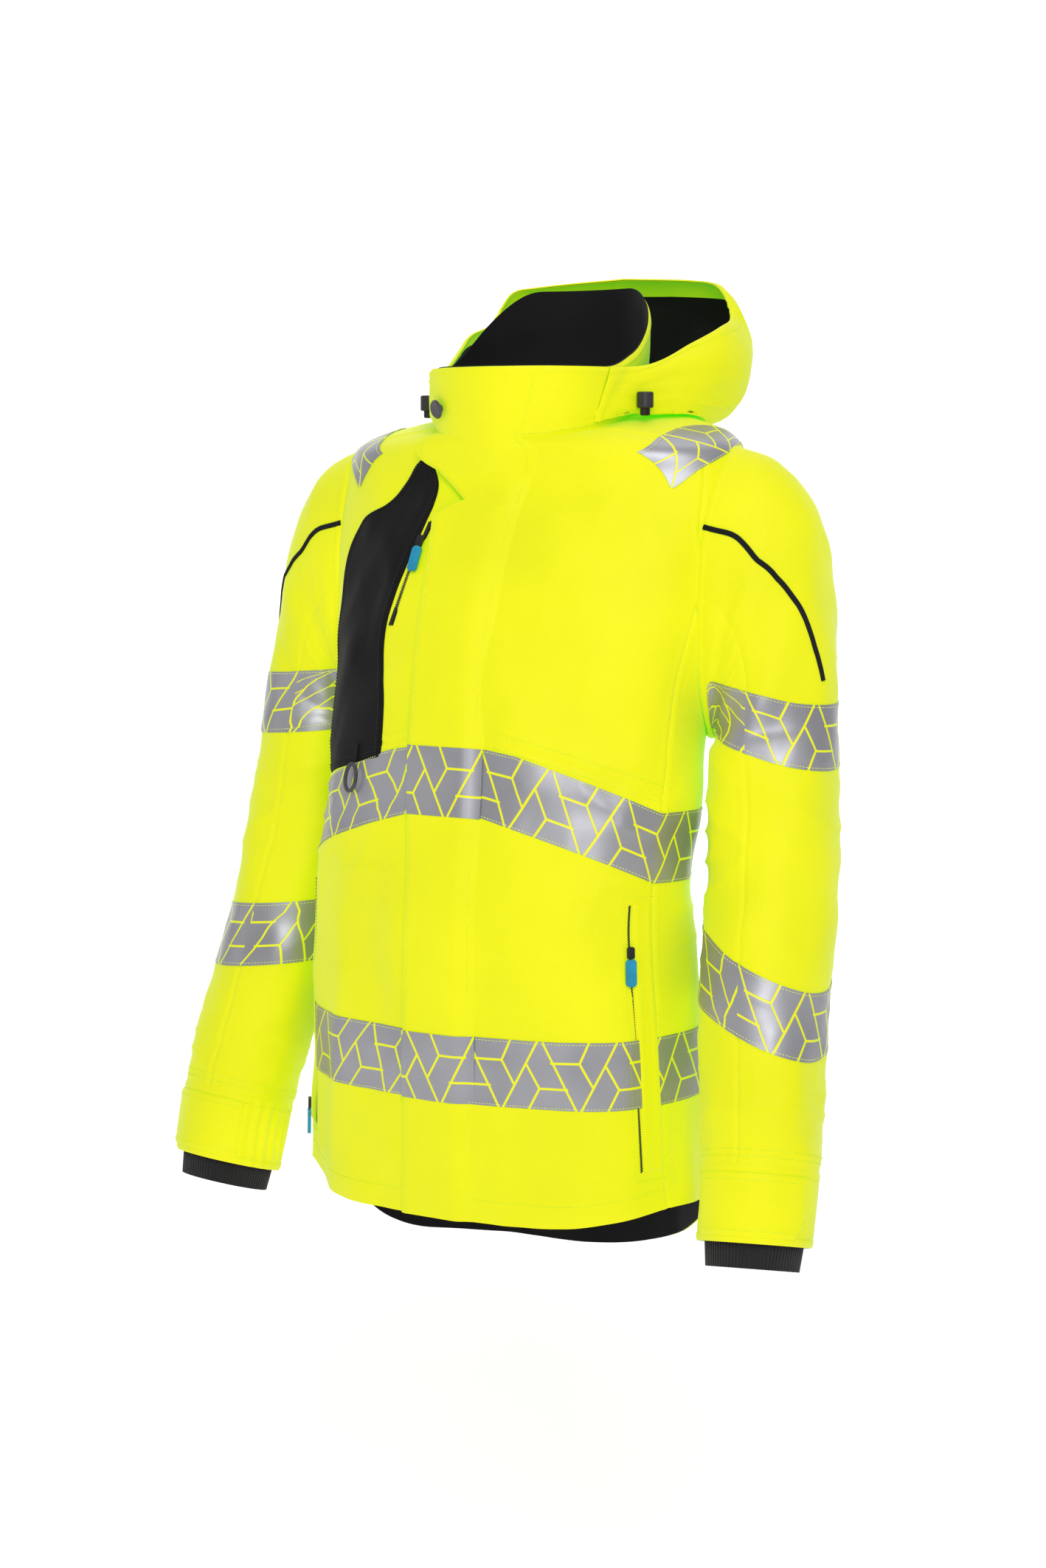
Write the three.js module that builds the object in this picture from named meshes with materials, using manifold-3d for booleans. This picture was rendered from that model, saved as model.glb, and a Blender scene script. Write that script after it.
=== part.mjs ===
// Hooded high-visibility work jacket, held in its worn shape.
// Millimetres, +Z up, front faces -Y, the wearer's left is +X. The origin is the middle of the neck seam.
import * as THREE from 'three';
import { mergeVertices } from 'three/addons/utils/BufferGeometryUtils.js';
import Module from 'manifold-3d';

const wasm = await Module();
wasm.setup();

// ---------------------------------------------------------------- driving dimensions
const BODY_HEIGHT = 740;         // front hem to neck seam, at the side
const NECK_RISE = 20;            // neck seam higher at the back, lower in front
const TAIL_DROP = 77;            // how far the back hem hangs below the front hem
const HEM_HALF_WIDTH = 205;
const WAIST_HALF_WIDTH = 189;
const CHEST_HALF_WIDTH = 213;
const NECK_HALF_WIDTH = 92;
const FRONT_DEPTH = 158;         // mid plane to the front at the hem
const BACK_DEPTH = 150;          // mid plane to the back across the shoulder blades
const SQUARENESS = 2.25;         // exponent of the body's oval section
const CLOTH = 3;                 // shell, membrane and lining together
const SEAM_GAP = 0.5;            // between neighbouring panels
const SEAT_GAP = 0.35;           // between pieces lying on each other
const FACET_ROOM = 1.3;         // extra room under a curved piece lying on another
const COLLAR_HEIGHT = 67;        // at the front
const COLLAR_RISE = 80;          // how much higher the top edge stands at the back
const COLLAR_FLARE = 15;
const ARMHOLE_HEIGHT = 276;
const ARMHOLE_DEPTH = 136;
const ARMHOLE_Y = 50;
const ARMHOLE_Z = 578;
const SLEEVE_REACH = 778;        // shoulder ring to the cuff's lower edge
const CUFF_HEIGHT = 66;
const KNIT_REVEAL = 22;          // how far the knitted cuff shows below the outer cuff
const KNIT_HEIGHT = 62;
const HEM_FACING_HEIGHT = 60;
const FLAP_LIFT = 6.5;           // room under the storm flap for the zip slider
const MAIN_ZIP_WIDTH = 7;
const CHEST_SEAM_Z = 447;        // at the centre front
const CHEST_SEAM_FALL = 52;      // from the centre front down to the side seam
const YOKE_SEAM_Z = 560;
const SIDE_SEAM_FRONT = 73.5;    // degrees round from the centre front
const SIDE_SEAM_BACK = 108;
const SHOULDER_FRONT = 65;
const SHOULDER_BACK = 114;
const POCKET_LOW = 51;
const POCKET_LENGTH = 248;
const POCKET_ANGLE = 62;
const SNAP_DIAMETER = 18;
const PULLER_LENGTH = 25;
const RING_HEIGHT = 30;
const RING_WIDTH = 20;
const RING_WIRE = 4;
const HOOD_OVERHANG = 70;        // how far the hood's fold bags out behind the collar
const HOOD_SAG = 78;
const HOOD_FRONT_ANGLE = 61;     // where the hood's front edges meet the collar
const HOOD_RIGHT_SHARE = 0.45;   // the fold bags out less on the wearer's right
const TAB_WIDTH = 55;            // cuff tab, along the arm

const radians = THREE.MathUtils.degToRad;
const mix = THREE.MathUtils.lerp;
const vec = (x, y, z) => new THREE.Vector3(x, y, z);

// ---------------------------------------------------------------- colours
const COLOURS = {
  shell: [0xe6f500, 0.62],
  lining: [0x161416, 0.8],
  knit: [0x131213, 0.92],
  hardware: [0x2c2a2c, 0.45],
  puller: [0x0f8cb4, 0.4],
  zip: [0x201f21, 0.5],
};

// ---------------------------------------------------------------- smooth outlines
// A smooth curve through [place, value] pairs, level beyond both ends.
function outline(pairs) {
  const slope = (i) => {
    const a = pairs[Math.max(i - 1, 0)];
    const b = pairs[Math.min(i + 1, pairs.length - 1)];
    return (b[1] - a[1]) / (b[0] - a[0]);
  };
  return (place) => {
    const last = pairs.length - 1;
    if (place <= pairs[0][0]) return pairs[0][1];
    if (place >= pairs[last][0]) return pairs[last][1];
    let i = 0;
    while (place > pairs[i + 1][0]) i += 1;
    const span = pairs[i + 1][0] - pairs[i][0];
    const t = (place - pairs[i][0]) / span;
    const t2 = t * t;
    const t3 = t2 * t;
    return (2 * t3 - 3 * t2 + 1) * pairs[i][1] + (t3 - 2 * t2 + t) * span * slope(i)
      + (3 * t2 - 2 * t3) * pairs[i + 1][1] + (t3 - t2) * span * slope(i + 1);
  };
}

function straight(pairs) {
  return (place) => {
    const last = pairs.length - 1;
    if (place <= pairs[0][0]) return pairs[0][1];
    if (place >= pairs[last][0]) return pairs[last][1];
    let i = 0;
    while (place > pairs[i + 1][0]) i += 1;
    return mix(pairs[i][1], pairs[i + 1][1], (place - pairs[i][0]) / (pairs[i + 1][0] - pairs[i][0]));
  };
}

// ---------------------------------------------------------------- body surface
const chestToNeck = (share) => mix(CHEST_HALF_WIDTH, NECK_HALF_WIDTH, share);
const bodyWidth = outline([
  [0, HEM_HALF_WIDTH], [0.2, mix(HEM_HALF_WIDTH, WAIST_HALF_WIDTH, 0.45)], [0.4, WAIST_HALF_WIDTH],
  [0.55, WAIST_HALF_WIDTH], [0.66, mix(WAIST_HALF_WIDTH, CHEST_HALF_WIDTH, 0.1)],
  [0.77, mix(WAIST_HALF_WIDTH, CHEST_HALF_WIDTH, 0.62)], [0.853, CHEST_HALF_WIDTH],
  [0.93, CHEST_HALF_WIDTH], [0.955, chestToNeck(0.04)], [0.972, chestToNeck(0.14)],
  [0.984, chestToNeck(0.34)], [0.993, chestToNeck(0.6)], [1, NECK_HALF_WIDTH],
]);
const bodyFront = outline([
  [0, 0.993], [0.21, 1], [0.4, 0.98], [0.55, 0.86], [0.69, 0.734], [0.825, 0.532], [0.894, 0.392],
  [0.949, 0.285], [1, 0.348],
]);
const bodyBack = outline([
  [0, 0.687], [0.2, 0.653], [0.4, 0.587], [0.55, 0.733], [0.69, 0.9], [0.825, 1], [0.894, 0.933],
  [0.949, 0.88], [1, 0.833],
]);

const neckZ = (angle) => BODY_HEIGHT - NECK_RISE * Math.cos(radians(angle));

// Half width, front depth and back depth of the section through z at an angle round the body.
function section(z, angle) {
  const neck = neckZ(angle);
  const share = z / neck;
  if (share <= 1) {
    return [bodyWidth(share), bodyFront(share) * FRONT_DEPTH, bodyBack(share) * BACK_DEPTH];
  }
  const rise = Math.min((z - neck) / COLLAR_HEIGHT, 1);
  const flare = COLLAR_FLARE * rise * (2 - rise);
  return [
    NECK_HALF_WIDTH + 0.7 * flare,
    bodyFront(1) * FRONT_DEPTH + COLLAR_FLARE * rise,
    bodyBack(1) * BACK_DEPTH + flare,
  ];
}

// Angle 0 is the centre front, 90 the wearer's left side, 180 the centre back.
function bodyPoint(angle, z) {
  const [width, front, back] = section(z, angle);
  const power = 2 / SQUARENESS;
  const s = Math.sin(radians(angle));
  const c = Math.cos(radians(angle));
  const middle = (back - front) / 2;
  const half = (back + front) / 2;
  return vec(
    width * Math.sign(s) * Math.abs(s) ** power,
    middle - half * Math.sign(c) * Math.abs(c) ** power,
    z,
  );
}

function bodyNormal(angle, z) {
  const neck = neckZ(angle);
  const step = z > neck ? Math.min(2, (z - neck) * 0.9 + 0.01) : 2;
  const upper = z <= neck ? Math.min(z + 2, neck) : z + 2;
  const round = bodyPoint(angle + 1.5, z).sub(bodyPoint(angle - 1.5, z));
  const along = bodyPoint(angle, upper).sub(bodyPoint(angle, z - step));
  return round.cross(along).normalize();
}

const onBody = (angle, z) => ({ point: bodyPoint(angle, z), normal: bodyNormal(angle, z) });

// Angle whose body point has the given x on the front half.
function angleAtX(x, z) {
  const share = Math.min(Math.abs(x) / section(z, 0)[0], 0.999) ** (SQUARENESS / 2);
  return Math.sign(x) * THREE.MathUtils.radToDeg(Math.asin(share));
}

// Half width of the body at a given depth and height, on its side.
function bodyXAt(y, z) {
  const [width, front, back] = section(z, 90);
  const middle = (back - front) / 2;
  const half = (back + front) / 2;
  const share = Math.min(Math.abs((y - middle) / half), 0.999);
  return width * (1 - share ** SQUARENESS) ** (1 / SQUARENESS);
}

// Hem line: level in front, dropping over the sides to the tail.
function hemZ(angle) {
  const away = Math.abs(((angle + 180) % 360 + 360) % 360 - 180);
  return -TAIL_DROP * THREE.MathUtils.smoothstep(away, 92, 152);
}

// Seam across the chest, falling from the centre front towards the sides.
const chestSeam = straight([
  [0, CHEST_SEAM_Z], [10, CHEST_SEAM_Z], [SIDE_SEAM_FRONT, CHEST_SEAM_Z - CHEST_SEAM_FALL],
]);
const chestSeamZ = (angle) => chestSeam(Math.abs(angle));

// ---------------------------------------------------------------- solids
function solidFrom(positions, faces) {
  const geometry = new THREE.BufferGeometry();
  geometry.setAttribute('position', new THREE.Float32BufferAttribute(positions, 3));
  geometry.setIndex(faces);
  return facingOut(geometry);
}

function facingOut(geometry) {
  const p = geometry.attributes.position;
  const index = geometry.index.array;
  let volume = 0;
  const [a, b, c] = [vec(), vec(), vec()];
  for (let i = 0; i < index.length; i += 3) {
    a.fromBufferAttribute(p, index[i]);
    b.fromBufferAttribute(p, index[i + 1]);
    c.fromBufferAttribute(p, index[i + 2]);
    volume += a.dot(b.cross(c));
  }
  if (volume < 0) {
    for (let i = 0; i < index.length; i += 3) {
      [index[i + 1], index[i + 2]] = [index[i + 2], index[i + 1]];
    }
  }
  return geometry;
}

// A cloth panel: a grid on surface(u, v), thickened between two offsets along its normals.
function panel(surface, across, along, { outer = 0, inner = -CLOTH, closed = false } = {}) {
  const positions = [];
  const faces = [];
  const columns = closed ? across : across + 1;
  const rows = along + 1;
  const offset = (value, u, v) => (typeof value === 'function' ? value(u, v) : value);
  for (const side of [outer, inner]) {
    for (let j = 0; j < rows; j += 1) {
      for (let i = 0; i < columns; i += 1) {
        const [u, v] = [i / across, j / along];
        const { point, normal } = surface(u, v);
        const p = point.clone().addScaledVector(normal, offset(side, u, v));
        positions.push(p.x, p.y, p.z);
      }
    }
  }
  const far = rows * columns;
  const at = (i, j) => j * columns + (closed ? (i + columns) % columns : i);
  const quad = (a, b, c, d) => faces.push(a, b, c, a, c, d);
  for (let j = 0; j < along; j += 1) {
    for (let i = 0; i < across; i += 1) {
      quad(at(i, j), at(i + 1, j), at(i + 1, j + 1), at(i, j + 1));
      quad(far + at(i, j), far + at(i, j + 1), far + at(i + 1, j + 1), far + at(i + 1, j));
    }
  }
  for (let i = 0; i < across; i += 1) {
    quad(at(i, 0), far + at(i, 0), far + at(i + 1, 0), at(i + 1, 0));
    quad(at(i, along), at(i + 1, along), far + at(i + 1, along), far + at(i, along));
  }
  for (let j = 0; j < along && !closed; j += 1) {
    quad(at(0, j), at(0, j + 1), far + at(0, j + 1), far + at(0, j));
    quad(at(across, j), far + at(across, j), far + at(across, j + 1), at(across, j + 1));
  }
  return solidFrom(positions, faces);
}

// A body panel between two angles and two heights, each a number or a function of the other.
function bodyPanel(angles, heights, across, along, offsets) {
  const value = (edge, place) => (typeof edge === 'function' ? edge(place) : edge);
  return panel((u, v) => {
    const roughZ = mix(value(heights[0], value(angles[0], 0)), value(heights[1], value(angles[0], 0)), v);
    const angle = mix(value(angles[0], roughZ), value(angles[1], roughZ), u);
    const z = mix(value(heights[0], angle), value(heights[1], angle), v);
    return onBody(angle, z);
  }, across, along, offsets);
}

function toManifold(geometry) {
  const bare = geometry.clone();
  bare.deleteAttribute('normal');
  bare.deleteAttribute('uv');
  const merged = mergeVertices(bare, 1e-4);
  return new wasm.Manifold(new wasm.Mesh({
    numProp: 3,
    vertProperties: new Float32Array(merged.attributes.position.array),
    triVerts: new Uint32Array(merged.index.array),
  }));
}

function fromManifold(solid) {
  const mesh = solid.getMesh();
  return solidFrom(Array.from(mesh.vertProperties), Array.from(mesh.triVerts));
}

const cut = (geometry, tool) => fromManifold(toManifold(geometry).subtract(toManifold(tool)));

function mirrored(geometry) {
  const copy = geometry.clone();
  copy.scale(-1, 1, 1);
  const index = copy.index ? copy.index.array : null;
  if (index) return facingOut(copy);
  return facingOut(mergeVertices(copy));
}

// Places a solid made about the origin, with its +Z along the surface normal and +Y up the cloth.
function seated(geometry, { point, normal }, lift = 0) {
  const up = vec(0, 0, 1).addScaledVector(normal, -normal.z).normalize();
  const side = up.clone().cross(normal);
  const matrix = new THREE.Matrix4().makeBasis(side, up, normal);
  matrix.setPosition(point.clone().addScaledVector(normal, lift));
  return geometry.applyMatrix4(matrix);
}

function lathe(profile, segments = 20) {
  const points = profile.map(([r, z]) => new THREE.Vector2(r, z));
  const geometry = new THREE.LatheGeometry(points, segments);
  geometry.rotateX(Math.PI / 2);
  geometry.deleteAttribute('normal');
  geometry.deleteAttribute('uv');
  return facingOut(mergeVertices(geometry, 1e-4));
}

function roundedPlate(width, length, corner, thickness) {
  const [w, l] = [width / 2, length / 2];
  const shape = new THREE.Shape();
  shape.moveTo(-w + corner, -l);
  shape.lineTo(w - corner, -l);
  shape.absarc(w - corner, -l + corner, corner, -Math.PI / 2, 0);
  shape.absarc(w - corner, l - corner, corner, 0, Math.PI / 2);
  shape.absarc(-w + corner, l - corner, corner, Math.PI / 2, Math.PI);
  shape.absarc(-w + corner, -l + corner, corner, Math.PI, Math.PI * 1.5);
  const geometry = new THREE.ExtrudeGeometry(shape, { depth: thickness, bevelEnabled: false, curveSegments: 3 });
  geometry.deleteAttribute('normal');
  geometry.deleteAttribute('uv');
  return facingOut(mergeVertices(geometry, 1e-4));
}

// ---------------------------------------------------------------- assembly
const jacket = new THREE.Group();
jacket.position.z = -BODY_HEIGHT;

function add(name, geometry, finish) {
  const [color, roughness] = COLOURS[finish];
  const mesh = new THREE.Mesh(geometry, new THREE.MeshStandardMaterial({ color, roughness, metalness: 0 }));
  mesh.name = name;
  jacket.add(mesh);
  return mesh;
}

function addPair(name, geometry, finish) {
  add(`left_${name}`, geometry, finish);
  add(`right_${name}`, mirrored(geometry), finish);
}

// ---------------------------------------------------------------- body panels
function armholeTool() {
  const shape = new THREE.Shape();
  shape.absellipse(0, 0, ARMHOLE_DEPTH / 2, ARMHOLE_HEIGHT / 2, 0, Math.PI * 2);
  const tool = new THREE.ExtrudeGeometry(shape, { depth: 600, bevelEnabled: false, curveSegments: 32 });
  tool.translate(0, 0, -300);
  tool.rotateY(Math.PI / 2);
  tool.rotateX(Math.PI / 2);
  tool.translate(0, ARMHOLE_Y, ARMHOLE_Z);
  return facingOut(mergeVertices(stripped(tool), 1e-4));
}

function stripped(geometry) {
  geometry.deleteAttribute('normal');
  geometry.deleteAttribute('uv');
  return geometry;
}

function addBody() {
  const hole = armholeTool();
  const seam = SEAM_GAP / 2;
  const degreeGap = 0.18;
  const zipEdge = (z) => angleAtX(MAIN_ZIP_WIDTH / 2 + SEAM_GAP, z);
  const frontSide = straight([
    [ARMHOLE_Z - 10, SIDE_SEAM_FRONT - degreeGap], [ARMHOLE_Z + 70, SHOULDER_FRONT - degreeGap],
    [BODY_HEIGHT, SHOULDER_FRONT - 2 * degreeGap],
  ]);
  const top = (angle) => neckZ(angle) - seam;
  addPair('front_lower', bodyPanel(
    [zipEdge, SIDE_SEAM_FRONT - degreeGap], [hemZ, (a) => chestSeamZ(a) - seam], 7, 8,
  ), 'shell');
  addPair('front_upper', cut(bodyPanel(
    [zipEdge, frontSide], [(a) => chestSeamZ(a) + seam, top], 7, 13,
  ), hole), 'shell');
  addPair('side_panel', cut(bodyPanel(
    [SIDE_SEAM_FRONT + degreeGap, SIDE_SEAM_BACK - 2 * degreeGap], [hemZ, ARMHOLE_Z - 65], 4, 9,
  ), hole), 'shell');
  addPair('shoulder_panel', cut(bodyPanel(
    [SHOULDER_FRONT + 2 * degreeGap, SHOULDER_BACK - degreeGap], [ARMHOLE_Z + 88, top], 5, 6,
  ), hole), 'shell');
  add('back_panel', cut(bodyPanel(
    [SIDE_SEAM_BACK + degreeGap, 360 - SIDE_SEAM_BACK - degreeGap], [hemZ, YOKE_SEAM_Z - seam], 12, 9,
  ), hole), 'shell');
  add('back_yoke', cut(bodyPanel(
    [SHOULDER_BACK + degreeGap, 360 - SHOULDER_BACK - degreeGap], [YOKE_SEAM_Z + seam, top], 12, 7,
  ), hole), 'shell');
}

function addHemFacing() {
  const lift = -CLOTH - SEAT_GAP - FACET_ROOM;
  add('hem_facing', bodyPanel(
    [5, 355], [(a) => hemZ(a) + 2, (a) => hemZ(a) + HEM_FACING_HEIGHT], 30, 1,
    { outer: lift, inner: lift - 1.5 },
  ), 'lining');
}

// ---------------------------------------------------------------- collar and snap
function collarTop(angle) {
  const away = Math.abs(((angle + 180) % 360 + 360) % 360 - 180);
  return neckZ(0) + COLLAR_HEIGHT + COLLAR_RISE * THREE.MathUtils.smoothstep(away, 68, 155);
}

function addCollar() {
  const opening = angleAtX(MAIN_ZIP_WIDTH / 2 + SEAM_GAP, neckZ(0) + 20);
  const low = (angle) => neckZ(angle) + SEAM_GAP / 2;
  const shellDepth = 2;
  const liningOuter = -shellDepth - SEAT_GAP;
  add('collar_shell', bodyPanel([opening, 360 - opening], [low, collarTop], 26, 3, {
    outer: 0, inner: -shellDepth,
  }), 'shell');
  add('collar_lining', bodyPanel([opening, 360 - opening], [low, (a) => collarTop(a) - 2], 26, 3, {
    outer: liningOuter, inner: liningOuter - 1.8,
  }), 'lining');
}

function addHangerLoop() {
  const reach = 7;
  const [width, rise, strap] = [60, 14, 2];
  const height = neckZ(180) + 30;
  const end = 180 - angleAtX(width / 2, height);
  const wall = bodyPoint(end, height).y - CLOTH - SEAT_GAP - 2.3 * FACET_ROOM;
  const shape = new THREE.Shape();
  shape.moveTo(-width / 2, 0);
  shape.lineTo(-width / 2 + rise, -reach);
  shape.lineTo(width / 2 - rise, -reach);
  shape.lineTo(width / 2, 0);
  shape.lineTo(width / 2 - 2 * strap, 0);
  shape.lineTo(width / 2 - rise - strap, -reach + strap);
  shape.lineTo(-width / 2 + rise + strap, -reach + strap);
  shape.lineTo(-width / 2 + 2 * strap, 0);
  const geometry = new THREE.ExtrudeGeometry(shape, { depth: 9, bevelEnabled: false });
  geometry.translate(0, wall, height);
  add('hanger_loop', facingOut(mergeVertices(stripped(geometry), 1e-4)), 'lining');
}

// ---------------------------------------------------------------- centre front
// Sewn and free edges of the storm flap as angles, with the pointed collar tab at the top.
const flapSewn = outline([
  [0, 10], [315, 10], [439, 8.5], [520, 6.6], [646, 7], [690, 9.5], [neckZ(0), 13],
  [neckZ(0) + COLLAR_HEIGHT, 14],
]);
const flapFree = straight([
  [0, -7.7], [171, -7.2], [310, -7.6], [441, -10.9], [565, -12.2], [607, -12.4], [649, -13.4], [661, -5.6],
  [693, -14.5], [neckZ(0), -33], [neckZ(0) + 25, -50], [neckZ(0) + COLLAR_HEIGHT, -34],
]);
const FLAP_HEIGHTS = [-2, 80, 170, 240, 310, 375, 441, 505, 565, 607, 649, 661, 677, 693, 707, 720.5, 733, 746, 766, 785];

function flapPoint(u, z) {
  return onBody(mix(flapSewn(z), flapFree(z), u), z);
}

// Lies close at the sewn edge, then stands clear of the zip.
function flapLift(u, v) {
  const height = FLAP_HEIGHTS[Math.round(v * (FLAP_HEIGHTS.length - 1))];
  const hollow = Math.max(0, 1 - Math.abs(height - 0.96 * neckZ(0)) / 60);
  return SEAT_GAP + 0.5 + 2.4 * hollow + FLAP_LIFT * THREE.MathUtils.smoothstep(u, 0.02, 0.3);
}

function addFlap() {
  const rows = FLAP_HEIGHTS.length - 1;
  add('storm_flap', panel((u, v) => flapPoint(u, FLAP_HEIGHTS[Math.round(v * rows)]), 7, rows, {
    outer: (u, v) => flapLift(u, v) + CLOTH, inner: flapLift,
  }), 'shell');
  const place = onBody(-28, neckZ(0) + 31);
  const r = SNAP_DIAMETER / 2;
  const cap = lathe([[0, 0], [r, 0], [r, 1.1], [r - 1.2, 2.3], [0, 2.3]], 24);
  add('snap_cap', seated(cap, place, 2 * SEAT_GAP + 0.9 + FLAP_LIFT + CLOTH), 'hardware');
  const stud = lathe([[0, 0], [r * 0.7, 0], [r * 0.7, 1.2], [r * 0.4, 1.8], [r * 0.4, FLAP_LIFT - SEAT_GAP],
    [0, FLAP_LIFT - SEAT_GAP]], 16);
  add('snap_stud', seated(stud, place, SEAT_GAP), 'hardware');
}

// A strip of zip chain along a line on the body, from low to high.
function zipStrip(angleAt, low, high, width, rows, offsets) {
  return panel((u, v) => {
    const z = mix(low, high, v);
    const middle = angleAt(z);
    const perDegree = bodyPoint(middle + 1, z).distanceTo(bodyPoint(middle, z));
    const half = width / 2 / perDegree;
    return onBody(middle + mix(-half, half, u), z);
  }, 1, rows, offsets);
}

function sliderBody(width, length, height) {
  return roundedPlate(width, length, width * 0.3, height);
}

const pullerPlate = () => roundedPlate(10, PULLER_LENGTH, 3.4, 3);

function addMainZip() {
  const low = 6;
  const high = neckZ(0) - 2;
  add('main_zip', zipStrip(() => 0, low, high, MAIN_ZIP_WIDTH, 14, { outer: 0.2, inner: -2.4 }), 'zip');
  const collarZip = zipStrip(() => 0, neckZ(0) + 1, collarTop(0) - 4, MAIN_ZIP_WIDTH, 3, {
    outer: 0.2, inner: -2.4,
  });
  add('collar_zip', collarZip, 'zip');
  const place = onBody(0, collarTop(0) - 16);
  add('main_slider', seated(sliderBody(9, 12, 2.7), place, 0.2 + 0.5), 'zip');
  const tag = roundedPlate(6, 18, 2, 1.2);
  tag.translate(0, -15.4, 0);
  add('main_puller', seated(tag, place, 2.3), 'zip');
}

// ---------------------------------------------------------------- chest pocket
const overlayInner = outline([
  [424, -22.4], [472, -23.2], [519, -24.9], [550, -24.6], [578, -22.2], [598, -19.9], [616, -18.4],
  [641, -16.3], [659, -14.9], [680, -15.2], [706, -19.5],
]);
const overlayOuter = outline([
  [424, -57], [472, -60], [560, -60], [600, -56], [643, -43.7], [657, -33.6], [679, -27.2], [696, -24.2],
  [706, -22],
]);
const OVERLAY_LIFT = SEAT_GAP + FACET_ROOM;
const OVERLAY_CLOTH = 1.8;
const overlayHeights = [0, 48, 95, 126, 154, 174, 192, 217, 235, 256, 272, 280];
const OVERLAY_LOW = 424;
const OVERLAY_SLANT = 24;        // its lower edge falls towards the side

function overlayPoint(u, row) {
  const z = OVERLAY_LOW + row;
  const angle = mix(overlayInner(z), overlayOuter(z), u);
  const drop = OVERLAY_SLANT * u * Math.max(0, 1 - row / 95);
  return onBody(angle, z - drop);
}

const CHEST_ZIP_TOP = 642;
const CHEST_ZIP_LENGTH = 96;
const CHEST_SLIDER_Z = CHEST_ZIP_TOP - 18;
const CHEST_ZIP_LEAN = 0.087;    // degrees round the body for each millimetre down
const CHEST_ZIP_HOLLOW = 1.15;   // the chain runs straighter than the cloth under it
const chestZipAngle = (z) => -14.6 - (CHEST_ZIP_TOP - z) * CHEST_ZIP_LEAN;

function addChestPocket() {
  const rows = overlayHeights.length - 1;
  add('chest_pocket_overlay', panel((u, v) => overlayPoint(u, overlayHeights[Math.round(v * rows)]), 5, rows, {
    outer: OVERLAY_LIFT + OVERLAY_CLOTH, inner: OVERLAY_LIFT,
  }), 'lining');
  add('chest_zip', zipStrip(chestZipAngle, CHEST_ZIP_TOP - CHEST_ZIP_LENGTH, CHEST_ZIP_TOP, 6, 5, {
    outer: (u, v) => SEAT_GAP + 1.4 - CHEST_ZIP_HOLLOW * Math.sin(Math.PI * v), inner: SEAT_GAP,
  }), 'zip');
}

// ---------------------------------------------------------------- sliders and pullers
// How far each slider stands off the cloth, to clear its chain over the whole travel.
const CHEST_SLIDER_LIFT = 2.3;
const LEFT_SLIDER_LIFT = 2.1;
const RIGHT_SLIDER_LIFT = 2.55;

// A slider on the body with its puller hanging from it.
function addSlider(name, angle, z, lift) {
  const place = onBody(angle, z);
  add(`${name}_slider`, seated(sliderBody(7, 11, 2.7), place, lift), 'zip');
  const plate = pullerPlate();
  plate.translate(0, -PULLER_LENGTH / 2 - 6, 0);
  add(`${name}_puller`, seated(plate, place, lift), 'puller');
}

function addHandPockets() {
  const high = POCKET_LOW + POCKET_LENGTH;
  const offsets = { outer: (u, v) => SEAT_GAP + 1.4 - 0.6 * Math.sin(Math.PI * v), inner: SEAT_GAP };
  addPair('pocket_welt', bodyPanel(
    [POCKET_ANGLE + 1.4, SIDE_SEAM_FRONT - 0.3], [POCKET_LOW, high], 2, 4, offsets,
  ), 'shell');
  addPair('pocket_zip', zipStrip(() => POCKET_ANGLE, POCKET_LOW + 2, high - 2, 6, 4, offsets), 'zip');
}

// ---------------------------------------------------------------- ring on the chest pocket
function addRing() {
  const place = onBody(-34, OVERLAY_LOW - 11);
  const ring = new THREE.TorusGeometry((RING_HEIGHT - RING_WIRE) / 2, RING_WIRE / 2, 6, 20);
  ring.scale(RING_WIDTH / RING_HEIGHT, 1, 1);
  ring.translate(0, -RING_HEIGHT / 2 + 3, 0);
  const lift = OVERLAY_LIFT + OVERLAY_CLOTH + SEAT_GAP;
  add('tool_ring', seated(facingOut(mergeVertices(stripped(ring), 1e-4)), place, lift + RING_WIRE / 2), 'hardware');
  const tab = new THREE.Shape();
  tab.moveTo(-4, -1.2);
  tab.lineTo(4, -1.2);
  tab.lineTo(4, 16);
  tab.lineTo(-4, 16);
  const strap = new THREE.ExtrudeGeometry(tab, { depth: 1.2, bevelEnabled: false });
  strap.translate(0, 4.7, 0);
  add('ring_tab', seated(facingOut(mergeVertices(stripped(strap), 1e-4)), place, lift), 'lining');
}

// ---------------------------------------------------------------- sleeves
// Each ring: distance down the sleeve, top point and under point (x, z from the armhole's middle),
// y from the armhole's middle, half depth, and the forward lean of the ring in degrees.
const RINGS = [
  [0, -9, 138, -15, -138, 0, 68, 0],
  [60, 40, 119, -11, -141, 3, 71, 0],
  [125, 75, 72, -9, -144, 6, 70, 0],
  [190, 91, 12, -8, -148, 4, 68, 2],
  [260, 100, -58, -8, -153, -2, 66, 5],
  [330, 107, -138, -9, -160, -13, 64.5, 10],
  [430, 115, -243, -3, -253, -30, 63.5, 15],
  [555, 128, -363, 9, -373, -70, 61, 18],
  [680, 140, -483, 31, -493, -113, 55, 18],
  [765, 142, -563, 38, -572, -135, 52, 17],
];
const ringValue = [1, 2, 3, 4, 5, 6, 7].map((k) => outline(RINGS.map((ring) => [ring[0], ring[k]])));
const LAST_RING = RINGS[RINGS.length - 1][0];
const UPPER_REACH = 430;         // the stretch down to the elbow keeps its length
const UPPER_FALL = 253;
const ELBOW = 430;

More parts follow.
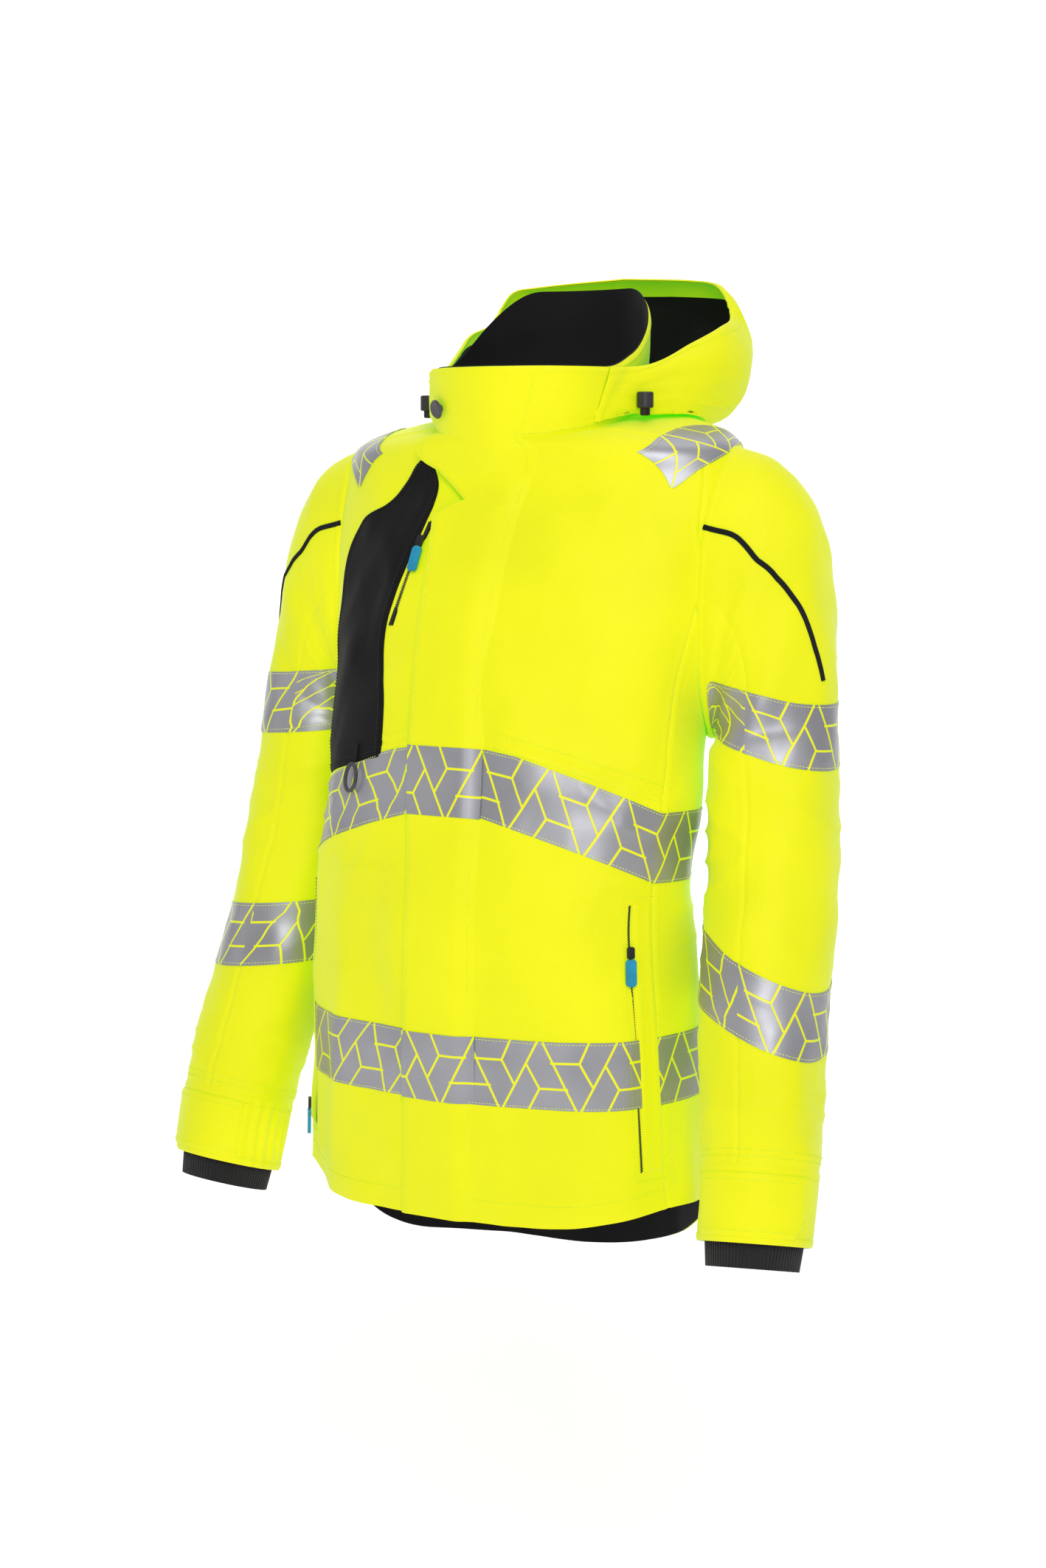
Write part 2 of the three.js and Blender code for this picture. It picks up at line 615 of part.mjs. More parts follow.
// Angle 0 is the top and outer side, 90 the back, 180 the under side, 270 the front.
function ringPoint(v, angle) {
  const [tx, tz, ux, uz, y, depth, lean] = ringValue.map((value) => value(v));
  const stretch = (SLEEVE_REACH - UPPER_REACH) / (LAST_RING - UPPER_REACH);
  const side = bodyXAt(ARMHOLE_Y, ARMHOLE_Z);
  const c = Math.cos(radians(angle));
  const s = Math.sin(radians(angle));
  const down = (z) => (z < -UPPER_FALL ? -UPPER_FALL + (z + UPPER_FALL) * stretch : z);
  return vec(
    side + (tx + ux) / 2 + c * (tx - ux) / 2,
    ARMHOLE_Y + y + s * depth * Math.cos(radians(lean)),
    ARMHOLE_Z + (down(tz) + down(uz)) / 2 + c * (tz - uz) / 2 - s * depth * Math.sin(radians(lean)),
  );
}

// The first ring lies in the armhole's edge, and the sleeve eases away from it.
function sleevePoint(v, angle, shrink = 0) {
  const fade = Math.max(0, 1 - v / 120) ** 2;
  const point = ringPoint(v, angle);
  if (shrink) {
    const centre = ringPoint(v, angle + 180).add(point).multiplyScalar(0.5);
    point.addScaledVector(point.clone().sub(centre).normalize(), -shrink);
  }
  if (fade > 0) {
    const c = Math.cos(radians(angle));
    const s = Math.sin(radians(angle));
    const y = ARMHOLE_Y + s * (ARMHOLE_DEPTH / 2 - SEAM_GAP);
    const z = ARMHOLE_Z + c * (ARMHOLE_HEIGHT / 2 - SEAM_GAP);
    const seat = vec(bodyXAt(y, z) + 0.3, y, z);
    point.addScaledVector(seat.sub(ringPoint(0, angle)), fade);
  }
  return point;
}

function sleeveNormal(v, angle) {
  const round = sleevePoint(v, angle + 3).sub(sleevePoint(v, angle - 3));
  const along = sleevePoint(v + 4, angle).sub(sleevePoint(Math.max(v - 4, 0), angle));
  return round.cross(along).normalize().negate();
}

function sleevePanel(angles, reach, across, along, options = {}) {
  return panel((u, v) => {
    const place = mix(reach[0], reach[1], v);
    const angle = mix(angles[0], angles[1], u);
    const normal = sleeveNormal(place, angle);
    const point = sleevePoint(place, angle);
    const centre = sleevePoint(place, angle + 180).add(point).multiplyScalar(0.5);
    if (normal.dot(point.clone().sub(centre)) < 0) normal.negate();
    return { point, normal };
  }, across, along, options);
}

function addSleeves() {
  const edge = SEAM_GAP / 2;
  const cuffTop = LAST_RING - CUFF_HEIGHT;
  addPair('upper_sleeve_outer', sleevePanel([-90, 90], [0, ELBOW - edge], 8, 11), 'shell');
  addPair('upper_sleeve_inner', sleevePanel([90.4, 269.6], [0, ELBOW - edge], 7, 11), 'shell');
  addPair('lower_sleeve_outer', sleevePanel([-90, 90], [ELBOW + edge, cuffTop - edge], 8, 5), 'shell');
  addPair('lower_sleeve_inner', sleevePanel([90.4, 269.6], [ELBOW + edge, cuffTop - edge], 7, 5), 'shell');
  addPair('cuff', sleevePanel([0, 360], [cuffTop + edge, LAST_RING], 20, 2, { closed: true }), 'shell');
  const knitLow = LAST_RING + KNIT_REVEAL;
  const knitHigh = knitLow - KNIT_HEIGHT;
  const knitInset = (v) => mix(CLOTH + 0.6, 10, THREE.MathUtils.smoothstep(v, 0, 0.5));
  const centreOf = (v) => sleevePoint(Math.min(v, LAST_RING), 0).add(
    sleevePoint(Math.min(v, LAST_RING), 180)).multiplyScalar(0.5);
  const armDirection = centreOf(LAST_RING).sub(centreOf(LAST_RING - 60)).normalize();
  addPair('knit_cuff', panel((u, v) => {
    const place = mix(knitHigh, knitLow, v);
    const held = Math.min(place, LAST_RING);
    const angle = 360 * u;
    const point = sleevePoint(held, angle);
    const centre = centreOf(held);
    const normal = point.clone().sub(centre).normalize();
    point.addScaledVector(armDirection, place - held);
    return { point, normal };
  }, 20, 4, { outer: (u, v) => -knitInset(v), inner: (u, v) => -knitInset(v) - 2, closed: true }), 'knit');
}

// The cuff tab is sewn down at the front and reaches round the outer side.
const TAB_SEWN = 228;
const TAB_FREE = 345;

function addCuffTabs() {
  const middle = LAST_RING - CUFF_HEIGHT / 2;
  addPair('cuff_tab', panel((u, v) => {
    const angle = mix(TAB_SEWN, TAB_FREE, u);
    const clip = v > 0.8 ? Math.max(0, u - 0.84) * 1.1 : 0;
    const place = middle + (v - 0.5) * TAB_WIDTH - clip * TAB_WIDTH * (v - 0.8) * 2;
    const point = sleevePoint(place, angle);
    const centre = sleevePoint(place, angle + 180).add(point).multiplyScalar(0.5);
    return { point, normal: point.clone().sub(centre).normalize() };
  }, 9, 4, { outer: SEAT_GAP + 0.6 + 2.4, inner: SEAT_GAP + 0.6 }), 'shell');
}

// ---------------------------------------------------------------- hood
// Share 0 is the centre back, 1 the front end at the collar.
const rimX = outline([[0, 0], [0.3, 88], [0.42, 123], [0.58, 147], [0.72, 152], [0.84, 137], [0.93, 116], [1, 88]]);
const rimY = outline([[0, 212], [0.3, 197], [0.42, 177], [0.58, 155], [0.72, 118], [0.84, 87], [0.93, 42], [1, -12]]);
const rimZ = outline([[0, 146], [0.3, 140], [0.42, 132], [0.58, 101], [0.72, 88], [0.84, 72], [0.93, 51], [1, 46]]);
const hoodBulge = outline([[0, 1], [0.45, 0.85], [0.58, 0.72], [0.72, 0.46], [0.84, 0.18], [0.93, 0.06], [1, 0]]);
const hoodSag = outline([[0, 0.8], [0.45, 0.9], [0.58, 1], [0.72, 0.8], [0.84, 0.3], [0.93, 0.06], [1, 0]]);

// How far out a point stands, as a share of the body's section at a height.
function reachShare(x, y, z, angle) {
  const [width, front, back] = section(z, angle);
  const middle = (back - front) / 2;
  const half = (back + front) / 2;
  return ((Math.abs(x) / width) ** SQUARENESS + Math.abs((y - middle) / half) ** SQUARENESS) ** (1 / SQUARENESS);
}

// Lifts a point of the hood off the shoulders and moves it clear of the collar.
function clearOfBody(point) {
  const room = CLOTH + 0.9;
  const angle = THREE.MathUtils.radToDeg(Math.atan2(point.x, 25 - point.y));
  while (point.z < neckZ(angle) + room && reachShare(point.x, point.y, point.z - room, angle) < 1.01) {
    point.z += 0.5;
  }
  const [, front, back] = section(point.z, angle);
  const middle = (back - front) / 2;
  const need = 1 + room / NECK_HALF_WIDTH;
  const grow = Math.max(need / reachShare(point.x, point.y, point.z, angle), 1);
  return vec(point.x * grow, middle + (point.y - middle) * grow, point.z);
}

function hoodPoint(share, v) {
  const side = Math.sign(share) || 1;
  const s = Math.abs(share);
  const rim = vec(side * rimX(s), rimY(s), BODY_HEIGHT + rimZ(s));
  const angle = side * mix(180, HOOD_FRONT_ANGLE, s);
  const root = bodyPoint(angle, neckZ(angle) + 4);
  const away = bodyNormal(angle, neckZ(angle) + 4);
  root.addScaledVector(away.setZ(0).normalize(), CLOTH + 0.9);
  const middle = rim.clone().add(root).multiplyScalar(0.5);
  const outward = vec(middle.x, middle.y - 35, 0).normalize();
  const swell = Math.sin(Math.PI * v) ** 0.8;
  const point = rim.lerp(root, v);
  point.addScaledVector(outward, HOOD_OVERHANG * hoodBulge(s) * swell);
  point.z -= HOOD_SAG * hoodSag(s) * Math.sin(Math.PI * v) * v;
  return clearOfBody(point);
}

// Draws the wearer's right side of the hood in towards the collar.
function drawnIn(x) {
  const start = -NECK_HALF_WIDTH - COLLAR_FLARE;
  return x < start ? start + (x - start) * HOOD_RIGHT_SHARE : x;
}

function hoodPanel(shares, reach, across, along) {
  const geometry = panel((u, v) => {
    const share = mix(shares[0], shares[1], u);
    const place = mix(reach[0], reach[1], v);
    const point = hoodPoint(share, place);
    const step = 0.02;
    const low = Math.min(place + step, 0.999);
    const high = Math.max(place - step, 0.001);
    const round = hoodPoint(share + step, place).sub(hoodPoint(share - step, place));
    const along2 = hoodPoint(share, low).sub(hoodPoint(share, high));
    const normal = round.cross(along2).normalize();
    return { point, normal };
  }, across, along);
  const places = geometry.attributes.position;
  for (let i = 0; i < places.count; i += 1) places.setX(i, drawnIn(places.getX(i)));
  return geometry;
}

function addHood() {
  const turn = 0.5;
  const wing = 0.8;
  const seam = 0.024;
  add('hood_crown', hoodPanel([-0.3, 0.3], [0, turn], 6, 4), 'shell');
  add('left_hood_wing', hoodPanel([0.305, wing - 0.005], [0, turn], 6, 4), 'shell');
  add('right_hood_wing', hoodPanel([0.005 - wing, -0.305], [0, turn], 6, 4), 'shell');
  add('hood_base', hoodPanel([-wing + seam, wing - seam], [turn + 0.0105, 1], 18, 4), 'shell');
  add('left_hood_side', hoodPanel([wing + seam, 0.96], [0.02, 0.97], 5, 7), 'shell');
  add('right_hood_side', hoodPanel([-0.96, -seam - wing], [0.02, 0.97], 5, 7), 'shell');
}

// ---------------------------------------------------------------- cord locks on the hood's sides
const LOCK_RADIUS = 8;
const LOCK_LENGTH = 15;
const PLUNGER_RADIUS = 4.8;
const LOCK_SHARE = 0.92;         // where the lock sits along the rim and down the hood
const LOCK_DROP = 0.46;

function addCordLocks() {
  const floor = 4.5;
  const bore = PLUNGER_RADIUS + SEAT_GAP;
  for (const [side, share, room] of [['left', LOCK_SHARE, 1.4], ['right', -LOCK_SHARE, 0.9]]) {
    const lift = LOCK_RADIUS + room;
    const point = hoodPoint(share, LOCK_DROP);
    point.x = drawnIn(point.x);
    const place = { point, normal: vec(point.x, point.y - 35, 0).normalize() };
    const barrel = lathe([[0, 0], [LOCK_RADIUS - 1, 0], [LOCK_RADIUS, 1], [LOCK_RADIUS, LOCK_LENGTH - 1],
      [LOCK_RADIUS - 1, LOCK_LENGTH], [bore, LOCK_LENGTH], [bore, floor], [0, floor]], 16);
    const plunger = lathe([[0, floor + 4.5], [PLUNGER_RADIUS, floor + 4.5], [PLUNGER_RADIUS, LOCK_LENGTH + 6],
      [PLUNGER_RADIUS - 1, LOCK_LENGTH + 7], [0, LOCK_LENGTH + 7]], 14);
    add(`${side}_cord_lock`, seated(barrel.rotateX(Math.PI / 2), place, lift), 'hardware');
    add(`${side}_cord_lock_plunger`, seated(plunger.rotateX(Math.PI / 2), place, lift), 'hardware');
  }
}

// ---------------------------------------------------------------- build
addBody();
addHemFacing();
addCollar();
addHangerLoop();
addFlap();
addMainZip();
addChestPocket();
addSlider('chest', chestZipAngle(CHEST_SLIDER_Z), CHEST_SLIDER_Z, CHEST_SLIDER_LIFT);
addHandPockets();
addSlider('left_pocket', POCKET_ANGLE, POCKET_LOW + 205, LEFT_SLIDER_LIFT);
addSlider('right_pocket', -POCKET_ANGLE, POCKET_LOW + 22, RIGHT_SLIDER_LIFT);
addRing();
addSleeves();
addCuffTabs();
addHood();
addCordLocks();

export default jacket;
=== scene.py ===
"""Hooded high-visibility work jacket: cloth, bands, zips and fittings on the packed frame."""
import math
import bpy
import numpy as np
from bpy.props import FloatProperty, FloatVectorProperty, IntProperty, PointerProperty
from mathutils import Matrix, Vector


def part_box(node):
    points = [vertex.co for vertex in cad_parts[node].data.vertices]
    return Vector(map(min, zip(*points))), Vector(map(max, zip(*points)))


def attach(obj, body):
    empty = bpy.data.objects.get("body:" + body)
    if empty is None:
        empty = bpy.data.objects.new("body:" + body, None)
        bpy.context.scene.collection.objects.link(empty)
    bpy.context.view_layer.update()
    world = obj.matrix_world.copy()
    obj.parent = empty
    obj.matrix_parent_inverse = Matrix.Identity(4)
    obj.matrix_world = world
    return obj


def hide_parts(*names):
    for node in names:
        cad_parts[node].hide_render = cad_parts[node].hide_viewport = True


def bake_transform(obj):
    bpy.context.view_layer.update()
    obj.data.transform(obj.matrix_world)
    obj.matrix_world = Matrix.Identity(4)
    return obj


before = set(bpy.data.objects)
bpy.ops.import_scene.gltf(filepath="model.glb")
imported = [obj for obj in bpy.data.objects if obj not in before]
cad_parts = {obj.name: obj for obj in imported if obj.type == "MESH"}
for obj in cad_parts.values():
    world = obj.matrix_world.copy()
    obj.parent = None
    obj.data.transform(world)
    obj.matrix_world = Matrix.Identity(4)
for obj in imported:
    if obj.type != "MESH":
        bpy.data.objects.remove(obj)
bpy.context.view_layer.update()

bl_info = {
    "name": "High-visibility Work Jacket",
    "version": (1, 0, 0),
    "blender": (4, 5, 0),
    "location": "3D Viewport > Sidebar > Jacket",
    "description": "Makes the cloth, reflective bands, stitching, zips and fittings of a hooded work jacket",
    "category": "Object",
}

# ------------------------------------------------------------------ garment shape, in millimetres
# Heights are measured from the front hem; the frame's origin is NECK above it.
NECK = 740.0
NECK_RISE = 20.0
SQUARENESS = 2.25
COLLAR_HEIGHT = 67.0
COLLAR_RISE = 80.0
COLLAR_FLARE = 15.0
HEM_HALF, WAIST_HALF, CHEST_HALF, NECK_HALF = 205.0, 189.0, 213.0, 92.0
FRONT_DEPTH, BACK_DEPTH = 158.0, 150.0
TAIL_DROP = 92.0
SIDE_RISE = 15.0
ARM_H, ARM_D, ARM_Y, ARM_Z = 276.0, 136.0, 50.0, 578.0
ELBOW, LAST_RING, SLEEVE_REACH = 430.0, 765.0, 778.0
CUFF_TOP = LAST_RING - 66.0
SIDE_FRONT, SIDE_BACK = 73.5, 108.0
SHOULDER_FRONT, SHOULDER_BACK = 65.0, 114.0
YOKE_Z = 560.0
POCKET_ANGLE, POCKET_LOW, POCKET_LENGTH = 62.0, 51.0, 248.0
CHEST_ZIP_TOP, CHEST_ZIP_LENGTH = 642.0, 96.0


def outline(pairs):
    """Smooth curve through (place, value) pairs, level beyond both ends."""
    x = np.array([p[0] for p in pairs], float)
    y = np.array([p[1] for p in pairs], float)
    last = len(x) - 1
    slope = np.array([
        (y[min(i + 1, last)] - y[max(i - 1, 0)]) / (x[min(i + 1, last)] - x[max(i - 1, 0)])
        for i in range(last + 1)
    ])

    def value(place):
        place = np.clip(np.asarray(place, float), x[0], x[-1])
        i = np.clip(np.searchsorted(x, place, side="right") - 1, 0, last - 1)
        span = x[i + 1] - x[i]
        t = (place - x[i]) / span
        t2, t3 = t * t, t * t * t
        return ((2 * t3 - 3 * t2 + 1) * y[i] + (t3 - 2 * t2 + t) * span * slope[i]
                + (3 * t2 - 2 * t3) * y[i + 1] + (t3 - t2) * span * slope[i + 1])
    return value


def straight(pairs):
    x = [p[0] for p in pairs]
    y = [p[1] for p in pairs]
    return lambda place: np.interp(place, x, y)


def smooth(t, low=0.0, high=1.0):
    t = np.clip((np.asarray(t, float) - low) / (high - low), 0, 1)
    return t * t * (3 - 2 * t)


def toward_neck(share):
    return CHEST_HALF + (NECK_HALF - CHEST_HALF) * share


body_width = outline([
    (0, HEM_HALF), (0.2, HEM_HALF + (WAIST_HALF - HEM_HALF) * 0.45), (0.4, WAIST_HALF), (0.55, WAIST_HALF),
    (0.66, WAIST_HALF + (CHEST_HALF - WAIST_HALF) * 0.1), (0.77, WAIST_HALF + (CHEST_HALF - WAIST_HALF) * 0.62),
    (0.853, CHEST_HALF), (0.93, CHEST_HALF), (0.955, toward_neck(0.04)), (0.972, toward_neck(0.14)),
    (0.984, toward_neck(0.34)), (0.993, toward_neck(0.6)), (1, NECK_HALF),
])
body_front = outline([
    (0, 0.993), (0.21, 1), (0.4, 0.98), (0.55, 0.86), (0.69, 0.734), (0.825, 0.532), (0.894, 0.392),
    (0.949, 0.285), (1, 0.348),
])
body_back = outline([
    (0, 0.687), (0.2, 0.653), (0.4, 0.587), (0.55, 0.733), (0.69, 0.9), (0.825, 1), (0.894, 0.933),
    (0.949, 0.88), (1, 0.833),
])


def neck_z(angle):
    return NECK - NECK_RISE * np.cos(np.radians(angle))


def around(angle):
    return np.abs((np.asarray(angle, float) + 180) % 360 - 180)


def collar_top(angle):
    lean = 9 * smooth(-np.asarray(angle, float), 25, 62) * (1 - smooth(-np.asarray(angle, float), 100, 150))
    return neck_z(0) + COLLAR_HEIGHT + COLLAR_RISE * smooth(around(angle), 68, 155) - lean


def section(z, angle):
    neck = neck_z(angle)
    share = np.minimum(z / neck, 1)
    rise = np.clip((z - neck) / COLLAR_HEIGHT, 0, 1)
    flare = COLLAR_FLARE * rise * (2 - rise)
    return (body_width(share) + 0.7 * flare, body_front(share) * FRONT_DEPTH + COLLAR_FLARE * rise,
            body_back(share) * BACK_DEPTH + flare)


def body_point(angle, z):
    angle, z = np.broadcast_arrays(np.asarray(angle, float), np.asarray(z, float))
    width, front, back = section(z, angle)
    s, c = np.sin(np.radians(angle)), np.cos(np.radians(angle))
    power = 2 / SQUARENESS
    half, middle = (back + front) / 2, (back - front) / 2
    return np.stack([
        width * np.sign(s) * np.abs(s) ** power,
        middle - half * np.sign(c) * np.abs(c) ** power,
        z,
    ], -1)


def unit(v):
    return v / np.maximum(np.linalg.norm(v, axis=-1, keepdims=True), 1e-9)


def body_normal(angle, z):
    angle, z = np.broadcast_arrays(np.asarray(angle, float), np.asarray(z, float))
    neck = neck_z(angle)
    step = np.where(z > neck, np.minimum(4, (z - neck) * 0.9 + 0.01), 4)
    upper = np.where(z <= neck, np.minimum(z + 4, neck), z + 4)
    turn = body_point(angle + 2, z) - body_point(angle - 2, z)
    along = body_point(angle, upper) - body_point(angle, z - step)
    return unit(np.cross(turn, along))


def angle_at_x(x, z):
    width = section(z, 0)[0]
    share = np.minimum(np.abs(x) / width, 0.999) ** (SQUARENESS / 2)
    return np.sign(x) * np.degrees(np.arcsin(share))


def hem_z(angle):
    turn = np.asarray(angle, float) % 360
    away = around(angle)
    lifted = SIDE_RISE * smooth(away, 25, 78) * (1 - smooth(away, 90, 120))
    return lifted - TAIL_DROP * smooth(turn, 80, 185) * (1 - smooth(turn, 222, 296))


seam_height = straight([(0, 447), (10, 447), (SIDE_FRONT, 395)])


def chest_seam(angle):
    return seam_height(around(angle))

# ------------------------------------------------------------------ cloth folds


def lattice(ix, iy, iz, seed):
    h = (ix * 374761393 + iy * 668265263 + iz * 1274126177 + seed * 144665) & 0xFFFFFFFF
    h = ((h ^ (h >> 13)) * 1274126177) & 0xFFFFFFFF
    h = h ^ (h >> 16)
    return (h & 0xFFFF) / 32767.5 - 1.0


def noise(p, size, seed=0):
    """Smooth noise from -1 to 1 at points p, with features of the given size along x, y and z."""
    q = p / np.asarray(size, float)
    base = np.floor(q)
    f = q - base
    i = base.astype(np.int64)
    f = f * f * f * (f * (f * 6 - 15) + 10)
    total = 0.0
    for dx in (0, 1):
        for dy in (0, 1):
            for dz in (0, 1):
                weight = (np.where(dx, f[..., 0], 1 - f[..., 0]) * np.where(dy, f[..., 1], 1 - f[..., 1])
                          * np.where(dz, f[..., 2], 1 - f[..., 2]))
                total = total + weight * lattice(i[..., 0] + dx, i[..., 1] + dy, i[..., 2] + dz, seed)
    return total


def crease(value, sharp=2.0):
    """Turns noise into soft ridges with narrower valleys."""
    return 1 - 2 * np.abs(value) ** (1 / sharp)


def tilted(p, lean):
    """Shears the space so that long folds run at an angle."""
    q = p.copy()
    q[..., 0] = p[..., 0] + lean * p[..., 2]
    return q


def armhole_edge(p):
    """0 at the armhole's edge, growing away from it in armhole radii."""
    r = np.hypot((p[..., 1] - ARM_Y) / (ARM_D / 2), (p[..., 2] - ARM_Z) / (ARM_H / 2))
    return np.where(np.abs(p[..., 0]) > 100, r - 1, 2.0)


# Straight lines of fittings that keep the cloth under them flat: two ends in (x, y, z).
FITTINGS = [
    ((193, -70, 38), (180, -62, 312)), ((-160, -118, 50), (-140, -128, 300)),
    ((-88, -104, 535), (-63, -84, 655)), ((-116, -121, 400), (-112, -118, 432)),
    ((118, 20, 753), (118, 20, 753)), ((0, -160, 0), (0, -45, 720)),
]


def fitting_calm(p):
    calm = 1.0
    for a, b in FITTINGS:
        a, b = np.array(a, float), np.array(b, float)
        line = b - a
        t = np.clip(((p - a) @ line) / max(line @ line, 1e-9), 0, 1)
        gap = np.linalg.norm(p - a - t[..., None] * line, axis=-1)
        calm = calm * (0.06 + 0.94 * smooth(gap, 9, 42))
    return calm


def body_folds(p, angle, z):
    """How far the worn cloth stands off the smooth body, in millimetres."""
    low = smooth(z, 640, 300)
    drape = noise(tilted(p, 0.10), (58, 58, 300), 3) * (2.0 + 7.0 * (1 - smooth(z, 120, 560)))
    pulls = noise(tilted(p, 0.55), (44, 60, 150), 11) * 2.6
    ripples = noise(tilted(p, -0.3), (21, 26, 64), 23) * 1.1
    chest = noise(tilted(p, 0.9), (58, 70, 120), 31) * 3.6 * np.exp(-((z - 560) / 110) ** 2)
    waist = crease(noise(p, (90, 90, 34), 41)) * 1.8 * np.exp(-((z - 330) / 120) ** 2)
    total = drape + pulls + ripples + chest * (1 - low * 0.3) + waist
    calm = smooth(neck_z(angle) - z, 4, 55) * (0.35 + 0.65 * smooth(np.abs(p[..., 0]), 20, 80))
    return total * calm * smooth(armhole_edge(p), 0.02, 0.45) * fitting_calm(p)


def on_body(angle, z, lift=0.0):
    """Point and normal on the worn body cloth."""
    angle, z = np.broadcast_arrays(np.asarray(angle, float), np.asarray(z, float))
    p = body_point(angle, z)
    n = body_normal(angle, z)
    d = body_folds(p, angle, z) + lift
    return p + n * d[..., None], n


# ------------------------------------------------------------------ sleeves
RINGS = [
    (0, -9, 138, -15, -138, 0, 68, 0), (60, 40, 119, -11, -141, 3, 71, 0), (125, 75, 72, -9, -144, 6, 70, 0),
    (190, 91, 12, -8, -148, 4, 68, 2), (260, 100, -58, -8, -153, -2, 66, 5), (330, 107, -138, -9, -160, -13, 64.5, 10),
    (430, 115, -243, -3, -253, -30, 63.5, 15), (555, 128, -363, 9, -373, -70, 61, 18),
    (680, 140, -483, 31, -493, -113, 55, 18), (765, 142, -563, 38, -572, -135, 52, 17),
]
ring_value = [outline([(r[0], r[k]) for r in RINGS]) for k in range(1, 8)]
UPPER_FALL = 253.0


def body_x_at(y, z):
    width, front, back = section(z, 90)
    middle, half = (back - front) / 2, (back + front) / 2
    share = np.minimum(np.abs((y - middle) / half), 0.999)
    return width * (1 - share ** SQUARENESS) ** (1 / SQUARENESS)


def ring_point(v, angle):
    tx, tz, ux, uz, y, depth, lean = [value(v) for value in ring_value]
    stretch = (SLEEVE_REACH - ELBOW) / (LAST_RING - ELBOW)
    side = body_x_at(ARM_Y, ARM_Z)
    c, s = np.cos(np.radians(angle)), np.sin(np.radians(angle))

    def down(z):
        return np.where(z < -UPPER_FALL, -UPPER_FALL + (z + UPPER_FALL) * stretch, z)
    lean = np.radians(lean)
    return np.stack(np.broadcast_arrays(
        side + (tx + ux) / 2 + c * (tx - ux) / 2,
        ARM_Y + y + s * depth * np.cos(lean),
        ARM_Z + (down(tz) + down(uz)) / 2 + c * (tz - uz) / 2 - s * depth * np.sin(lean),
    ), -1)


def sleeve_base(v, angle):
    v, angle = np.broadcast_arrays(np.asarray(v, float), np.asarray(angle, float))
    point = ring_point(v, angle)
    fade = np.clip(1 - v / 120, 0, 1) ** 2
    c, s = np.cos(np.radians(angle)), np.sin(np.radians(angle))
    y = ARM_Y + s * (ARM_D / 2 - 0.5)
    z = ARM_Z + c * (ARM_H / 2 - 0.5)
    seat = np.stack([body_x_at(y, z) + 0.3, y, z], -1)
    return point + (seat - ring_point(np.zeros_like(v), angle)) * fade[..., None]


def sleeve_centre(v):
    return (sleeve_base(v, 0) + sleeve_base(v, 180)) / 2


def sleeve_normal(v, angle):
    turn = sleeve_base(v, angle + 3) - sleeve_base(v, angle - 3)
    along = sleeve_base(v + 5, angle) - sleeve_base(np.maximum(v - 5, 0), angle)
    n = unit(np.cross(along, turn))
    out = sleeve_base(v, angle) - (sleeve_base(v, angle + 180) + sleeve_base(v, angle)) / 2
    return n * np.sign(np.sum(n * out, -1, keepdims=True) + 1e-9)


def sleeve_folds(p, v, angle, seed):
    around_arm = np.radians(angle)
    q = np.stack([np.cos(around_arm) * 60, np.sin(around_arm) * 60, v], -1)
    long = noise(tilted(q, 0.35), (48, 48, 150), seed + 1) * 4.2
    rings = crease(noise(tilted(q, -0.8), (75, 75, 30), seed + 2)) * 3.6
    inner = 0.35 + 0.65 * (0.5 - 0.5 * np.cos(around_arm - math.radians(-35)))
    elbow = np.exp(-((v - ELBOW) / 85) ** 2) * 1.15 + 0.28
    low = np.exp(-((v - 660) / 50) ** 2)
    small = noise(q, (17, 17, 22), seed + 3) * 0.7
    total = long + rings * elbow * inner + crease(noise(q, (60, 60, 16), seed + 5)) * 1.5 * low + small
    cap = noise(q, (70, 70, 60), seed + 7) * 1.6 * np.exp(-((v - 110) / 60) ** 2)
    return (total + cap) * smooth(v, 4, 90) * (1 - smooth(v, CUFF_TOP - 14, CUFF_TOP - 2) * 0.9)


def on_sleeve(v, angle, lift=0.0, seed=100, side=1):
    v, angle = np.broadcast_arrays(np.asarray(v, float), np.asarray(angle, float))
    p = sleeve_base(v, angle)
    n = sleeve_normal(v, angle)
    d = sleeve_folds(p, v, angle, seed) + lift
    p = p + n * d[..., None]
    flip = np.array([side, 1, 1])
    return p * flip, n * flip


# ------------------------------------------------------------------ hood
rim_x = outline([(0, 0), (0.3, 88), (0.42, 123), (0.58, 147), (0.72, 152), (0.84, 137), (0.93, 116), (1, 88)])
rim_y = outline([(0, 212), (0.3, 197), (0.42, 177), (0.58, 155), (0.72, 118), (0.84, 87), (0.93, 42), (1, -12)])
rim_z = outline([(0, 146), (0.3, 140), (0.42, 132), (0.58, 101), (0.72, 88), (0.84, 72), (0.93, 51), (1, 46)])
hood_bulge = outline([(0, 1), (0.45, 0.85), (0.58, 0.72), (0.72, 0.46), (0.84, 0.18), (0.93, 0.06), (1, 0)])
hood_sag = outline([(0, 0.8), (0.45, 0.9), (0.58, 1), (0.72, 0.8), (0.84, 0.3), (0.93, 0.06), (1, 0)])
HOOD_OVERHANG, HOOD_SAG, HOOD_ANGLE, HOOD_RIGHT = 70.0, 78.0, 61.0, 0.45


def reach_share(p, z, angle):
    width, front, back = section(z, angle)
    middle, half = (back - front) / 2, (back + front) / 2
    return ((np.abs(p[..., 0]) / width) ** SQUARENESS
            + np.abs((p[..., 1] - middle) / half) ** SQUARENESS) ** (1 / SQUARENESS)


